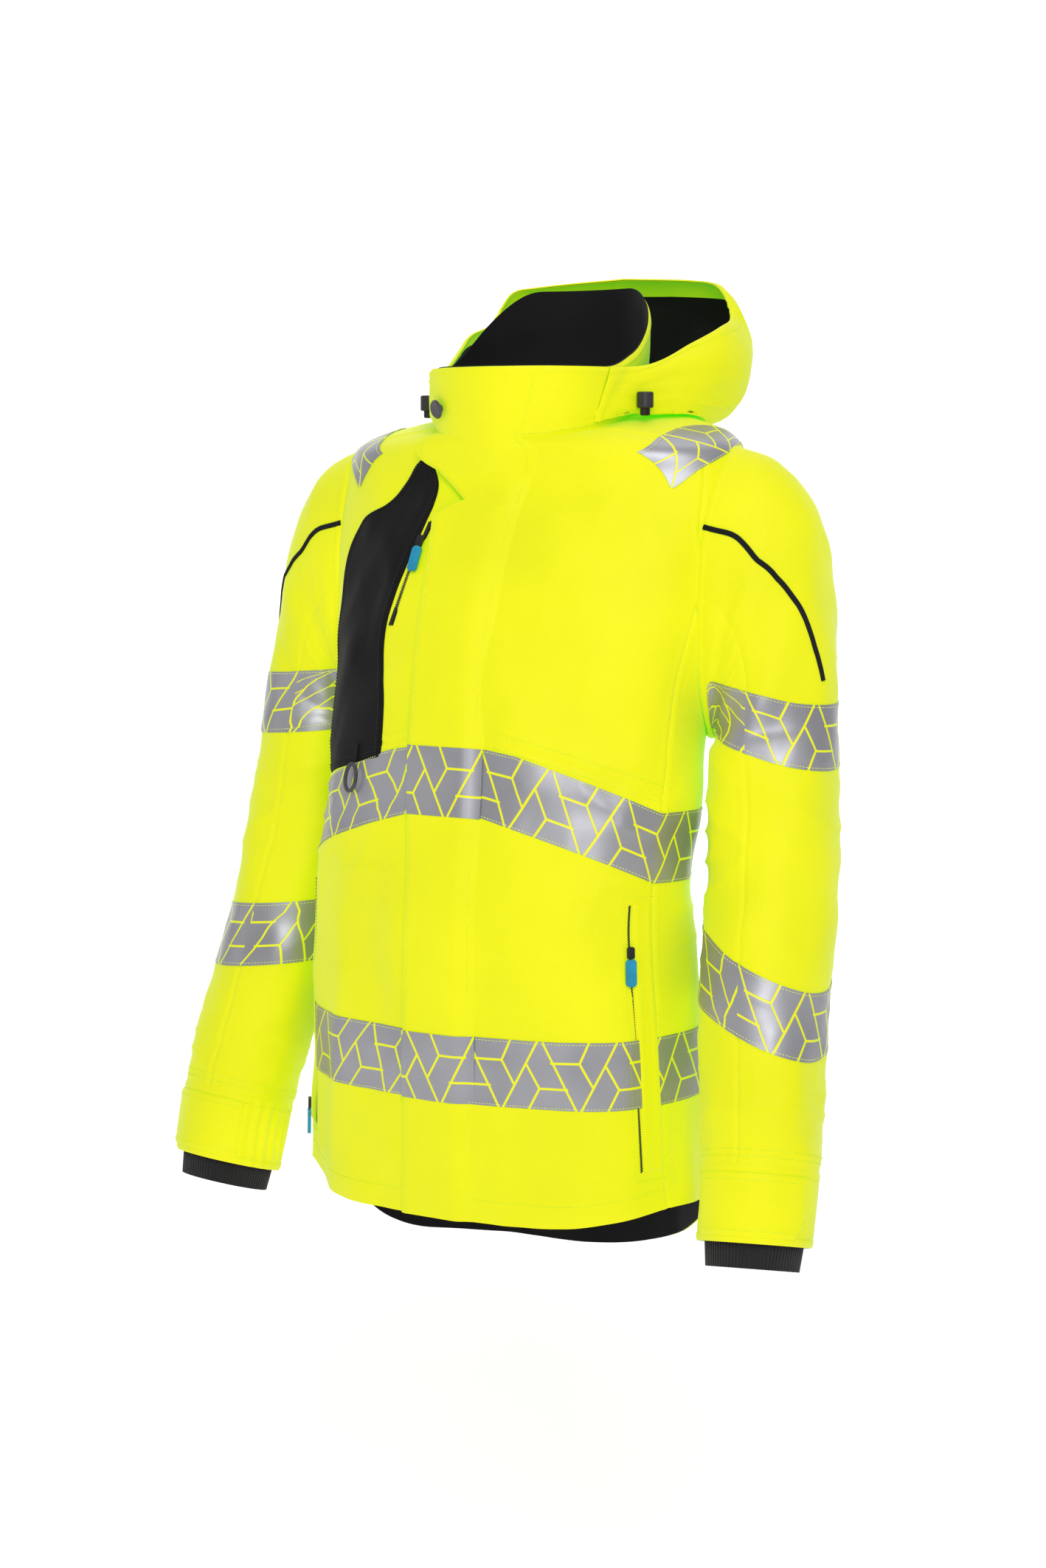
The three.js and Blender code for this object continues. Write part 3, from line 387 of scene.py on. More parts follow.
def clear_of_body(p, room):
    angle = np.degrees(np.arctan2(p[..., 0], 25 - p[..., 1]))
    p = p.copy()
    for _ in range(160):
        inside = (p[..., 2] < neck_z(angle) + room) & (reach_share(p, p[..., 2] - room, angle) < 1.01)
        if not inside.any():
            break
        p[..., 2] += np.where(inside, 0.5, 0)
    _, front, back = section(p[..., 2], angle)
    middle = (back - front) / 2
    grow = np.maximum((1 + room / NECK_HALF) / reach_share(p, p[..., 2], angle), 1)
    p[..., 0] *= grow
    p[..., 1] = middle + (p[..., 1] - middle) * grow
    return p


def hood_base(share, v):
    share, v = np.broadcast_arrays(np.asarray(share, float), np.asarray(v, float))
    side = np.where(share < 0, -1.0, 1.0)
    s = np.abs(share)
    rim = np.stack([side * rim_x(s), rim_y(s), NECK + rim_z(s)], -1)
    angle = side * (180 + (HOOD_ANGLE - 180) * s)
    foot = neck_z(angle) + 4
    root = body_point(angle, foot)
    away = body_normal(angle, foot)
    away[..., 2] = 0
    root = root + unit(away) * 3.9
    middle = (rim + root) / 2
    outward = middle - np.array([0, 35.0, 0])
    outward[..., 2] = 0
    outward = unit(outward)
    wave = np.sin(np.pi * np.clip(v, 0, 1))
    p = rim + (root - rim) * v[..., None]
    p = p + outward * (HOOD_OVERHANG * hood_bulge(s) * np.maximum(wave, 0) ** 0.8)[..., None]
    p[..., 2] -= HOOD_SAG * hood_sag(s) * wave * v
    p = clear_of_body(p, 3.9)
    start = -NECK_HALF - COLLAR_FLARE
    p[..., 0] = np.where(p[..., 0] < start, start + (p[..., 0] - start) * HOOD_RIGHT, p[..., 0])
    return p


def on_hood(share, v, lift=0.0):
    share, v = np.broadcast_arrays(np.asarray(share, float), np.asarray(v, float))
    p = hood_base(share, v)
    turn = hood_base(share + 0.012, v) - hood_base(share - 0.012, v)
    along = hood_base(share, np.minimum(v + 0.02, 0.999)) - hood_base(share, np.maximum(v - 0.02, 0.001))
    n = unit(np.cross(turn, along))
    q = np.stack([share * 260, np.zeros_like(share), v * 190], -1)
    deep = noise(tilted(q, 0.5), (46, 50, 42), 61) * 3.4
    fine = crease(noise(tilted(q, -0.6), (60, 50, 22), 67)) * 1.5
    d = (deep + fine) * smooth(v, 0.03, 0.3) * (1 - smooth(v, 0.8, 1)) * (1 - 0.8 * smooth(np.abs(share), 0.8, 0.97))
    return p + n * (np.maximum(d, -3.0) + lift)[..., None], n


# ------------------------------------------------------------------ storm flap
flap_sewn = outline([
    (0, 10), (315, 10), (439, 8.5), (520, 6.6), (646, 7), (690, 9.5), (720, 17), (740, 26), (787, 33),
])
flap_free = straight([
    (0, -7.7), (171, -7.2), (310, -7.6), (441, -10.9), (565, -12.2), (607, -12.4), (649, -13.4), (661, -5.6),
    (693, -14.5), (720, -33), (745, -50), (787, -34),
])


def flap_lift(u, z):
    hollow = np.clip(1 - np.abs(z - 0.96 * 720) / 60, 0, 1)
    return 0.85 + 2.4 * hollow * smooth(u, 0.0, 0.15) + 6.5 * smooth(u, 0.02, 0.3)


def on_flap(u, z, lift=0.0):
    u, z = np.broadcast_arrays(np.asarray(u, float), np.asarray(z, float))
    angle = flap_sewn(z) + (flap_free(z) - flap_sewn(z)) * u
    p = body_point(angle, z)
    n = body_normal(angle, z)
    wave = noise(p, (60, 60, 120), 71) * 0.9 + noise(p, (22, 22, 50), 73) * 0.35
    edge = smooth(u, 0.55, 1.0) * noise(p, (80, 80, 85), 79) * 1.3
    d = flap_lift(u, z) + (wave + edge) * smooth(u, 0, 0.3) + lift
    return p + n * d[..., None], n

# ------------------------------------------------------------------ meshes


def to_frame(p):
    """Garment millimetres to the frame's metres."""
    q = np.asarray(p, float).copy()
    q[..., 2] -= NECK
    return q / 1000.0


def new_object(name, verts, faces, uvs, material_index, materials, sharp=50.0):
    mesh = bpy.data.meshes.new(name)
    mesh.from_pydata(verts.tolist(), [], faces.tolist())
    for material in materials:
        mesh.materials.append(material)
    if uvs is not None:
        layer = mesh.uv_layers.new(name="cloth")
        layer.data.foreach_set("uv", uvs.astype(np.float32).ravel())
    mesh.polygons.foreach_set("material_index", material_index.astype(np.int32))
    mesh.polygons.foreach_set("use_smooth", np.ones(len(faces), bool))
    mesh.update()
    mesh.set_sharp_from_angle(angle=math.radians(sharp))
    obj = bpy.data.objects.new(name, mesh)
    bpy.context.scene.collection.objects.link(obj)
    return obj


def shell_mesh(name, outer, inner, uv, materials, closed=False, keep=None, inner_slot=1):
    """A closed cloth shell from two matching grids of points; keep drops cells, such as an armhole's."""
    rows, cols = outer.shape[:2]
    count = rows * cols
    wrap = cols if closed else cols - 1
    j, i = np.meshgrid(np.arange(rows - 1), np.arange(wrap), indexing="ij")
    nxt = (i + 1) % cols
    quads = np.stack([j * cols + i, j * cols + nxt, (j + 1) * cols + nxt, (j + 1) * cols + i], -1).reshape(-1, 4)
    corners = np.stack([uv[j, i], uv[j, i + 1], uv[j + 1, i + 1], uv[j + 1, i]], -2).reshape(-1, 4, 2)
    if keep is not None:
        flat = keep.reshape(-1)
        chosen = flat[quads].any(axis=1)
        quads, corners = quads[chosen], corners[chosen]
    points = np.concatenate([outer.reshape(-1, 3), inner.reshape(-1, 3)])
    a, b = quads, quads + count
    edges = np.concatenate([np.stack([a[:, k], a[:, (k + 1) % 4]], -1) for k in range(4)])
    edge_uv = np.concatenate([np.stack([corners[:, k], corners[:, (k + 1) % 4]], 1) for k in range(4)])
    code = edges[:, 0].astype(np.int64) * (2 * count) + edges[:, 1]
    back = edges[:, 1].astype(np.int64) * (2 * count) + edges[:, 0]
    border = ~np.isin(code, back)
    e, eu = edges[border], edge_uv[border]
    rim = np.stack([e[:, 1], e[:, 0], e[:, 0] + count, e[:, 1] + count], -1)
    rim_uv = np.stack([eu[:, 1], eu[:, 0], eu[:, 0], eu[:, 1]], 1)
    faces = np.concatenate([a, b[:, ::-1], rim])
    uvs = np.concatenate([corners, corners[:, ::-1], rim_uv])
    slots = np.concatenate([np.zeros(len(a)), np.full(len(b), inner_slot), np.zeros(len(rim))])
    p = points[faces]
    volume = (np.sum(p[:, 0] * np.cross(p[:, 1], p[:, 2]), -1) + np.sum(p[:, 0] * np.cross(p[:, 2], p[:, 3]), -1)).sum()
    if volume < 0:
        faces, uvs = faces[:, ::-1], uvs[:, ::-1]
    used, inverse = np.unique(faces.reshape(-1), return_inverse=True)
    return new_object(name, to_frame(points[used]), inverse.reshape(-1, 4), uvs.reshape(-1, 2), slots, materials)


def arc_uv(points, closed=False):
    """Lengths in metres along and across a grid, for patterns that follow the cloth."""
    p = np.concatenate([points, points[:, :1]], 1) if closed else points
    across = np.concatenate([np.zeros((p.shape[0], 1)), np.cumsum(np.linalg.norm(np.diff(p, axis=1), axis=-1), 1)], 1)
    along = np.concatenate([np.zeros((1, p.shape[1])), np.cumsum(np.linalg.norm(np.diff(p, axis=0), axis=-1), 0)], 0)
    return np.stack([across, along], -1) / 1000.0


def grid(a, b, c, d):
    """Two arrays (rows, cols) running 0 to 1 across and along for a patch of b by d millimetres at steps a, c."""
    cols = max(int(round(b / a)), 2) + 1
    rows = max(int(round(d / c)), 2) + 1
    return np.meshgrid(np.linspace(0, 1, cols), np.linspace(0, 1, rows))


def seam_profile(points, closed=False, sides=(1, 1, 1, 1), depth=1.1):
    """Dips at the sewn edges of a panel with a soft pressed ridge beside them: left, right, low, high."""
    uv = arc_uv(points, closed) * 1000.0
    across, along = uv[..., 0], uv[..., 1]
    if closed:
        across, along = across[:, :-1], along[:, :-1]
    total_a, total_b = across[:, -1:], along[-1:, :]
    result = np.zeros_like(across)
    for use, distance in zip(sides, (across, total_a - across, along, total_b - along)):
        if use:
            result = result - depth * np.exp(-(distance / 1.7) ** 2) + 0.4 * np.exp(-((distance - 5) / 2.2) ** 2)
            result = result - 0.45 * np.exp(-((distance - 8.2) / 1.3) ** 2)
    return result


def flat_size(obj):
    """Declares a cloth piece at the size it was cut to, from its own mesh."""
    mesh = obj.data
    uv = np.empty(len(mesh.loops) * 2, np.float32)
    mesh.uv_layers["cloth"].data.foreach_get("uv", uv)
    uv = uv.reshape(-1, 2)
    area = sum(p.area for p in mesh.polygons) / 2
    width = max(float(np.ptp(uv[:, 0])), 0.011)
    length = max(float(np.ptp(uv[:, 1])), 0.011)
    share = area / (width * length)
    if share > 1:
        width, length = width * math.sqrt(share), length * math.sqrt(share)
    return obj


def cloth(name, surface, u, v, materials, body, nodes=(), thick=1.6, lift=0.0, closed=False, keep=None,
          seams=(0, 0, 0, 0), blend=None, declare=True, inner_slot=1):
    """A cloth piece on surface(u, v), with its wall, seams, place on the frame and record slot."""
    p, n = surface(u, v)
    p = p + n * lift
    if any(seams):
        p = p + n * seam_profile(p, closed, seams)[..., None]
    uv = arc_uv(p, closed)
    obj = shell_mesh(name, p, p - n * thick, uv, materials, closed, keep, inner_slot)
    finish(obj, body, nodes, blend, declare)
    return obj


def finish(obj, body, nodes=(), blend=None, declare=False):
    if nodes:
        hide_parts(*nodes)
    if declare:
        flat_size(obj)
    if blend:
        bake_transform(obj)
    else:
        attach(obj, body)


def tube(path, radius, sides=8, closed=False):
    """Points and faces of a round cord along a path, in garment millimetres."""
    path = np.asarray(path, float)
    tangent = np.gradient(path, axis=0)
    if closed:
        tangent = np.roll(path, -1, 0) - np.roll(path, 1, 0)
    tangent = unit(tangent)
    up = unit(np.cross(tangent, np.roll(tangent, 3, 1) + np.array([0.13, 0.37, 0.91])))
    side = np.cross(tangent, up)
    turn = np.linspace(0, 2 * np.pi, sides, endpoint=False)
    ring = np.cos(turn)[None, :, None] * up[:, None] + np.sin(turn)[None, :, None] * side[:, None]
    points = path[:, None] + ring * radius
    rows = len(path)
    verts = points.reshape(-1, 3)
    faces = []
    for j in range(rows if closed else rows - 1):
        k = (j + 1) % rows
        for i in range(sides):
            m = (i + 1) % sides
            faces.append((j * sides + i, j * sides + m, k * sides + m, k * sides + i))
    if not closed:
        faces.append(tuple(range(sides))[::-1])
        faces.append(tuple((rows - 1) * sides + i for i in range(sides)))
    return verts, faces


def plain_mesh(name, verts, faces, material, sharp=40.0, smooth_shade=True):
    mesh = bpy.data.meshes.new(name)
    mesh.from_pydata(to_frame(np.asarray(verts)).tolist(), [], [tuple(f) for f in faces])
    mesh.materials.append(material)
    mesh.polygons.foreach_set("use_smooth", np.full(len(mesh.polygons), smooth_shade))
    mesh.update()
    mesh.set_sharp_from_angle(angle=math.radians(sharp))
    obj = bpy.data.objects.new(name, mesh)
    bpy.context.scene.collection.objects.link(obj)
    bpy.context.view_layer.objects.active = obj
    import_bmesh_normals(obj)
    return obj


def import_bmesh_normals(obj):
    """Turns every face outwards."""
    import bmesh
    work = bmesh.new()
    work.from_mesh(obj.data)
    bmesh.ops.remove_doubles(work, verts=work.verts, dist=1e-7)
    bmesh.ops.recalc_face_normals(work, faces=work.faces)
    work.to_mesh(obj.data)
    work.free()


def local_frame(point, normal):
    """Columns side, up and out of a fitting seated on the cloth."""
    n = np.asarray(normal, float)
    up = unit(np.array([0, 0, 1.0]) - n * n[2])
    return np.stack([np.cross(up, n), up, n], 1)


def seat(verts, point, normal, lift=0.0):
    axes = local_frame(point, normal)
    return np.asarray(verts, float) @ axes.T + np.asarray(point) + np.asarray(normal) * lift


def rounded_slab(width, length, corner, low, high, dome=0.0, hole=None, bevel=0.6, steps=6):
    """Bevelled slab with rounded corners, optionally domed; returns verts and faces about the origin."""
    turn = []
    for cx, cy, start in ((1, -1, -90), (1, 1, 0), (-1, 1, 90), (-1, -1, 180)):
        for k in range(steps + 1):
            a = math.radians(start + 90 * k / steps)
            turn.append((cx * (width / 2 - corner), cy * (length / 2 - corner), math.cos(a), math.sin(a)))
    base = np.array(turn)
    count = len(base)

    def loop(inset, z):
        r = max(corner - inset, 0.05)
        grow = min(inset, corner - 0.05) - inset
        x = base[:, 0] + np.sign(base[:, 0]) * grow + base[:, 2] * r
        y = base[:, 1] + np.sign(base[:, 1]) * grow + base[:, 3] * r
        return np.stack([x, y, np.full(count, z)], 1)
    loops = [loop(0, low), loop(0, high - bevel), loop(bevel * 0.3, high - bevel * 0.3), loop(bevel, high)]
    loops.append(loop(width * 0.22, high + dome * 0.7))
    loops.append(loop(width * 0.38, high + dome))
    verts = np.concatenate(loops)
    faces = []
    for k in range(len(loops) - 1):
        for i in range(count):
            m = (i + 1) % count
            faces.append((k * count + i, k * count + m, (k + 1) * count + m, (k + 1) * count + i))
    faces.append(tuple(range(count))[::-1])
    faces.append(tuple((len(loops) - 1) * count + i for i in range(count)))
    return verts, faces


def turned(profile, sides=32):
    """A solid of revolution about the local Z axis from (radius, height) pairs that start and end on it."""
    verts = []
    faces = []
    rings = []
    for r, z in profile:
        if r < 1e-6:
            rings.append([len(verts)])
            verts.append((0, 0, z))
        else:
            rings.append(list(range(len(verts), len(verts) + sides)))
            verts += [(r * math.cos(2 * math.pi * k / sides), r * math.sin(2 * math.pi * k / sides), z)
                      for k in range(sides)]
    for a, b in zip(rings, rings[1:]):
        for k in range(sides):
            m = (k + 1) % sides
            quad = [a[k % len(a)], a[m % len(a)], b[m % len(b)], b[k % len(b)]]
            quad = [q for i, q in enumerate(quad) if q not in quad[:i]]
            if len(quad) > 2:
                faces.append(tuple(quad))
    return np.array(verts, float), faces


# ------------------------------------------------------------------ materials


def linear(hex_colour):
    """sRGB hex to linear RGBA."""
    channels = [int(hex_colour[i:i + 2], 16) / 255 for i in (0, 2, 4)]
    return tuple([c / 12.92 if c <= 0.04045 else ((c + 0.055) / 1.055) ** 2.4 for c in channels] + [1.0])


def node(tree, kind, inputs=None, **settings):
    """Adds a node, sets its properties and its inputs, and returns it."""
    made = tree.nodes.new(kind)
    for key, value in settings.items():
        setattr(made, key, value)
    for key, value in (inputs or {}).items():
        socket = made.inputs[key]
        if isinstance(value, bpy.types.NodeSocket):
            tree.links.new(value, socket)
        else:
            socket.default_value = value
    return made


def material(name, colour, roughness, **sockets):
    m = bpy.data.materials.new(name)
    m.use_nodes = True
    tree = m.node_tree
    tree.nodes.clear()
    out = node(tree, "ShaderNodeOutputMaterial")
    shader = node(tree, "ShaderNodeBsdfPrincipled", {"Base Color": linear(colour), "Roughness": roughness})
    for key, value in sockets.items():
        shader.inputs[key.replace("_", " ")].default_value = value
    tree.links.new(shader.outputs["BSDF"], out.inputs["Surface"])
    m.diffuse_color = linear(colour)
    return m, tree, shader


def woven_bump(tree, shader, thread_mm, strength, coarse=0.0, use_uv=True):
    """Plain weave and slight cloth unevenness as a bump, in real millimetres."""
    place = node(tree, "ShaderNodeTexCoord")
    vector = place.outputs["UV"] if use_uv else place.outputs["Object"]
    scale = 1000.0 / thread_mm / 2
    warp = node(tree, "ShaderNodeTexWave", {"Vector": vector, "Scale": scale / 6.283, "Distortion": 0.6},
                wave_type="BANDS", bands_direction="X")
    weft = node(tree, "ShaderNodeTexWave", {"Vector": vector, "Scale": scale / 6.283, "Distortion": 0.6},
                wave_type="BANDS", bands_direction="Y")
    both = node(tree, "ShaderNodeMath", {0: warp.outputs["Fac"], 1: weft.outputs["Fac"]}, operation="MULTIPLY")
    uneven = node(tree, "ShaderNodeTexNoise", {"Vector": place.outputs["Object"], "Scale": 260.0, "Detail": 3.0})
    mixed = node(tree, "ShaderNodeMath", {0: uneven.outputs["Fac"], 1: coarse, 2: both.outputs[0]},
                 operation="MULTIPLY_ADD")
    bump = node(tree, "ShaderNodeBump", {"Height": mixed.outputs[0], "Strength": strength, "Distance": 0.0004})
    tree.links.new(bump.outputs["Normal"], shader.inputs["Normal"])
    return place


def tinted(tree, shader, place, dark, light, scale=9.0, low=0.35, high=0.7):
    """Slow change of shade over the piece, as dyed cloth has."""
    patch = node(tree, "ShaderNodeTexNoise", {"Vector": place.outputs["Object"], "Scale": scale, "Detail": 2.0})
    ramp = node(tree, "ShaderNodeMapRange", {"Value": patch.outputs["Fac"], "From Min": low, "From Max": high})
    mix = node(tree, "ShaderNodeMix", {"Factor": ramp.outputs[0]}, data_type="RGBA")
    mix.inputs[6].default_value = linear(dark)
    mix.inputs[7].default_value = linear(light)
    tree.links.new(mix.outputs[2], shader.inputs["Base Color"])
    return mix


def fluorescent_cloth(name, settings, painted_shade=False):
    """Matt woven polyester dyed fluorescent yellow: it gives back green-yellow light of its own."""
    m, tree, shader = material(name, "EDBE00", 0.62)
    place = woven_bump(tree, shader, 0.55, 0.22, coarse=0.8)
    # Painted shade: the darker DFB600 base makes a shaded copy of the shell cloth, for the hood's brim facing and the
    # storm flap's underside.
    tinted(tree, shader, place, "DFB600" if painted_shade else "E9BC00", "F1C400")
    shader.inputs["Sheen Weight"].default_value = 0.15
    shader.inputs["Sheen Roughness"].default_value = 0.5
    shader.inputs["Specular IOR Level"].default_value = 0.25
    # Painted glow: a constant green emission that stands in for the dye's fluorescence. It shines whatever the lamps do
    # and paints shaded cloth greener.
    shader.inputs["Emission Color"].default_value = (0.0, 1.0, 0.0, 1.0)
    shader.inputs["Emission Strength"].default_value = settings.painted_glow
    return m


# Yellow gaps between the band's grey cells over one repeat: ends as shares of the repeat and the band's width.
BAND_LINES = [
    (0.0, 1.0, 0.43, 0.0), (0.49, 0.0, 0.936, 1.0), (0.114, 0.69, 0.468, 0.694), (0.468, 0.694, 0.585, 1.0),
    (0.468, 0.694, 0.63, 0.36), (0.961, 0.307, 0.798, 0.65), (0.961, 0.307, 0.826, 0.0),
    (0.961, 0.307, 1.315, 0.31), (-0.039, 0.307, 0.315, 0.31),
]


def reflective_band(name, settings):
    """Glass-bead reflective film cut into angular cells, with the yellow cloth showing in the gaps."""
    m, tree, shader = material(name, "9C9CA1", 0.42)
    place = node(tree, "ShaderNodeTexCoord")
    parts = node(tree, "ShaderNodeSeparateXYZ", {0: place.outputs["UV"]})
    repeat = settings.band_repeat
    width = settings.band_width
    along = node(tree, "ShaderNodeMath", {0: parts.outputs[0], 1: repeat, 2: 0.0}, operation="WRAP")
    point = node(tree, "ShaderNodeCombineXYZ", {0: along.outputs[0], 1: parts.outputs[1]})
    nearest = None
    for x0, y0, x1, y1 in BAND_LINES:
        a = Vector((x0 * repeat, y0 * width, 0))
        b = Vector((x1 * repeat, y1 * width, 0)) - a
        off = node(tree, "ShaderNodeVectorMath", {0: point.outputs[0], 1: a}, operation="SUBTRACT")
        share = node(tree, "ShaderNodeVectorMath", {0: off.outputs[0], 1: b / b.length_squared}, operation="DOT_PRODUCT")
        held = node(tree, "ShaderNodeClamp", {0: share.outputs["Value"]})
        foot = node(tree, "ShaderNodeVectorMath", {0: b, "Scale": held.outputs[0]}, operation="SCALE")
        gap = node(tree, "ShaderNodeVectorMath", {0: off.outputs[0], 1: foot.outputs[0]}, operation="DISTANCE")
        if nearest is None:
            nearest = gap.outputs["Value"]
        else:
            nearest = node(tree, "ShaderNodeMath", {0: nearest, 1: gap.outputs["Value"]}, operation="MINIMUM").outputs[0]
    line = node(tree, "ShaderNodeMapRange", {"Value": nearest, "From Min": settings.band_line * 0.42,
                                             "From Max": settings.band_line * 0.58, "To Min": 1.0, "To Max": 0.0})
    beads = node(tree, "ShaderNodeTexNoise", {"Vector": place.outputs["Object"], "Scale": 900.0, "Detail": 2.0})
    cloud = node(tree, "ShaderNodeTexNoise", {"Vector": place.outputs["Object"], "Scale": 14.0, "Detail": 2.0})
    grey = node(tree, "ShaderNodeMix", {"Factor": cloud.outputs["Fac"]}, data_type="RGBA")
    grey.inputs[6].default_value = linear("8A8A90")
    grey.inputs[7].default_value = linear("B2B2B7")
    colour = node(tree, "ShaderNodeMix", {"Factor": line.outputs[0]}, data_type="RGBA")
    tree.links.new(grey.outputs[2], colour.inputs[6])
    colour.inputs[7].default_value = linear("EDBE00")
    tree.links.new(colour.outputs[2], shader.inputs["Base Color"])
    # Painted glow: the yellow gaps get the same constant green emission as the shell cloth.
    painted_glow = node(tree, "ShaderNodeMath", {0: line.outputs[0], 1: settings.painted_glow}, operation="MULTIPLY")
    shader.inputs["Emission Color"].default_value = (0.0, 1.0, 0.0, 1.0)
    tree.links.new(painted_glow.outputs[0], shader.inputs["Emission Strength"])
    metal = node(tree, "ShaderNodeMapRange", {"Value": line.outputs[0], "To Min": 0.55, "To Max": 0.0})
    tree.links.new(metal.outputs[0], shader.inputs["Metallic"])
    relief = node(tree, "ShaderNodeMath", {0: beads.outputs["Fac"], 1: 0.35, 2: line.outputs[0]},
                  operation="MULTIPLY_ADD")
    bump = node(tree, "ShaderNodeBump", {"Height": relief.outputs[0], "Strength": 0.35, "Distance": 0.0002},
                invert=True)
    tree.links.new(bump.outputs["Normal"], shader.inputs["Normal"])
    return m


def black_cloth(name, colour="0C0B0C", light="151315", thread=0.5):
    """Matt black woven cloth: lining, facings and overlay."""
    m, tree, shader = material(name, colour, 0.82)
    place = woven_bump(tree, shader, thread, 0.3, coarse=0.6)
    tinted(tree, shader, place, colour, light, 12.0)
    shader.inputs["Specular IOR Level"].default_value = 0.2
    shader.inputs["Sheen Weight"].default_value = 0.06
    shader.inputs["Sheen Roughness"].default_value = 0.45
    return m


def rib_knit(name):
    """Black rib knit: rows of small stitches along each rib."""
    m, tree, shader = material(name, "151416", 0.93)
    place = node(tree, "ShaderNodeTexCoord")
    rows = node(tree, "ShaderNodeTexWave", {"Vector": place.outputs["UV"], "Scale": 130.0, "Distortion": 1.2,
                                            "Detail": 1.0}, wave_type="BANDS", bands_direction="Y")
    bump = node(tree, "ShaderNodeBump", {"Height": rows.outputs["Fac"], "Strength": 0.5, "Distance": 0.0005})
    tree.links.new(bump.outputs["Normal"], shader.inputs["Normal"])
    tinted(tree, shader, place, "0B0A0B", "181618", 30.0)
    shader.inputs["Sheen Weight"].default_value = 0.15
    return m


def moulded(name, colour, light, roughness, grain=420.0, strength=0.12, metallic=0.0):
    """Moulded plastic or coated cast metal with a fine grain."""
    m, tree, shader = material(name, colour, roughness, Metallic=metallic)
    place = node(tree, "ShaderNodeTexCoord")
    rough = node(tree, "ShaderNodeTexNoise", {"Vector": place.outputs["Object"], "Scale": grain, "Detail": 2.0})
    bump = node(tree, "ShaderNodeBump", {"Height": rough.outputs["Fac"], "Strength": strength, "Distance": 0.0003})
    tree.links.new(bump.outputs["Normal"], shader.inputs["Normal"])
    tinted(tree, shader, place, colour, light, 60.0)
    worn = node(tree, "ShaderNodeMapRange", {"Value": rough.outputs["Fac"], "To Min": roughness - 0.06,
                                             "To Max": roughness + 0.08})
    tree.links.new(worn.outputs[0], shader.inputs["Roughness"])
    return m


STUFF = {}


def make_materials(settings):
    STUFF["shell"] = fluorescent_cloth("fluorescent_shell_cloth", settings)
    # Painted shade: a darker, shaded copy of the shell cloth.
    STUFF["shell_inside"] = fluorescent_cloth("fluorescent_facing_cloth", settings, painted_shade=True)
    STUFF["band"] = reflective_band("segmented_reflective_film", settings)
    STUFF["lining"] = black_cloth("black_lining_cloth")
    STUFF["overlay"] = black_cloth("black_overlay_cloth", "090809", "111011", 0.7)
    STUFF["knit"] = rib_knit("black_rib_knit")
    STUFF["piping"] = black_cloth("black_piping_cloth", "100F10", "1A181A", 0.4)
    STUFF["stitch"] = moulded("yellow_polyester_thread", "D9EE10", "F0FF40", 0.6, 900.0, 0.3)
    STUFF["stitch_pale"] = moulded("pale_polyester_thread", "E8F070", "F6FAB0", 0.6, 900.0, 0.3)
    STUFF["black_thread"] = moulded("black_polyester_thread", "1B191B", "2A272A", 0.7, 900.0, 0.3)
    STUFF["snap"] = moulded("satin_grey_snap_plastic", "3A383B", "4A474B", 0.38)
    STUFF["metal"] = moulded("nickel_plated_stud", "8A8A8E", "9D9DA2", 0.3, 300.0, 0.05, 1.0)
    STUFF["slider"] = moulded("black_coated_zip_slider", "1A191B", "29272A", 0.36, 500.0, 0.15, 0.4)
    STUFF["teeth"] = moulded("black_moulded_zip_teeth", "151416", "222022", 0.42)
    STUFF["grip"] = moulded("teal_moulded_grip", "0A7FA6", "1497BF", 0.42, 700.0, 0.3)
    STUFF["lock"] = moulded("charcoal_moulded_cord_lock", "1E1C1F", "2B292C", 0.48)


# ------------------------------------------------------------------ rows of stitches and teeth


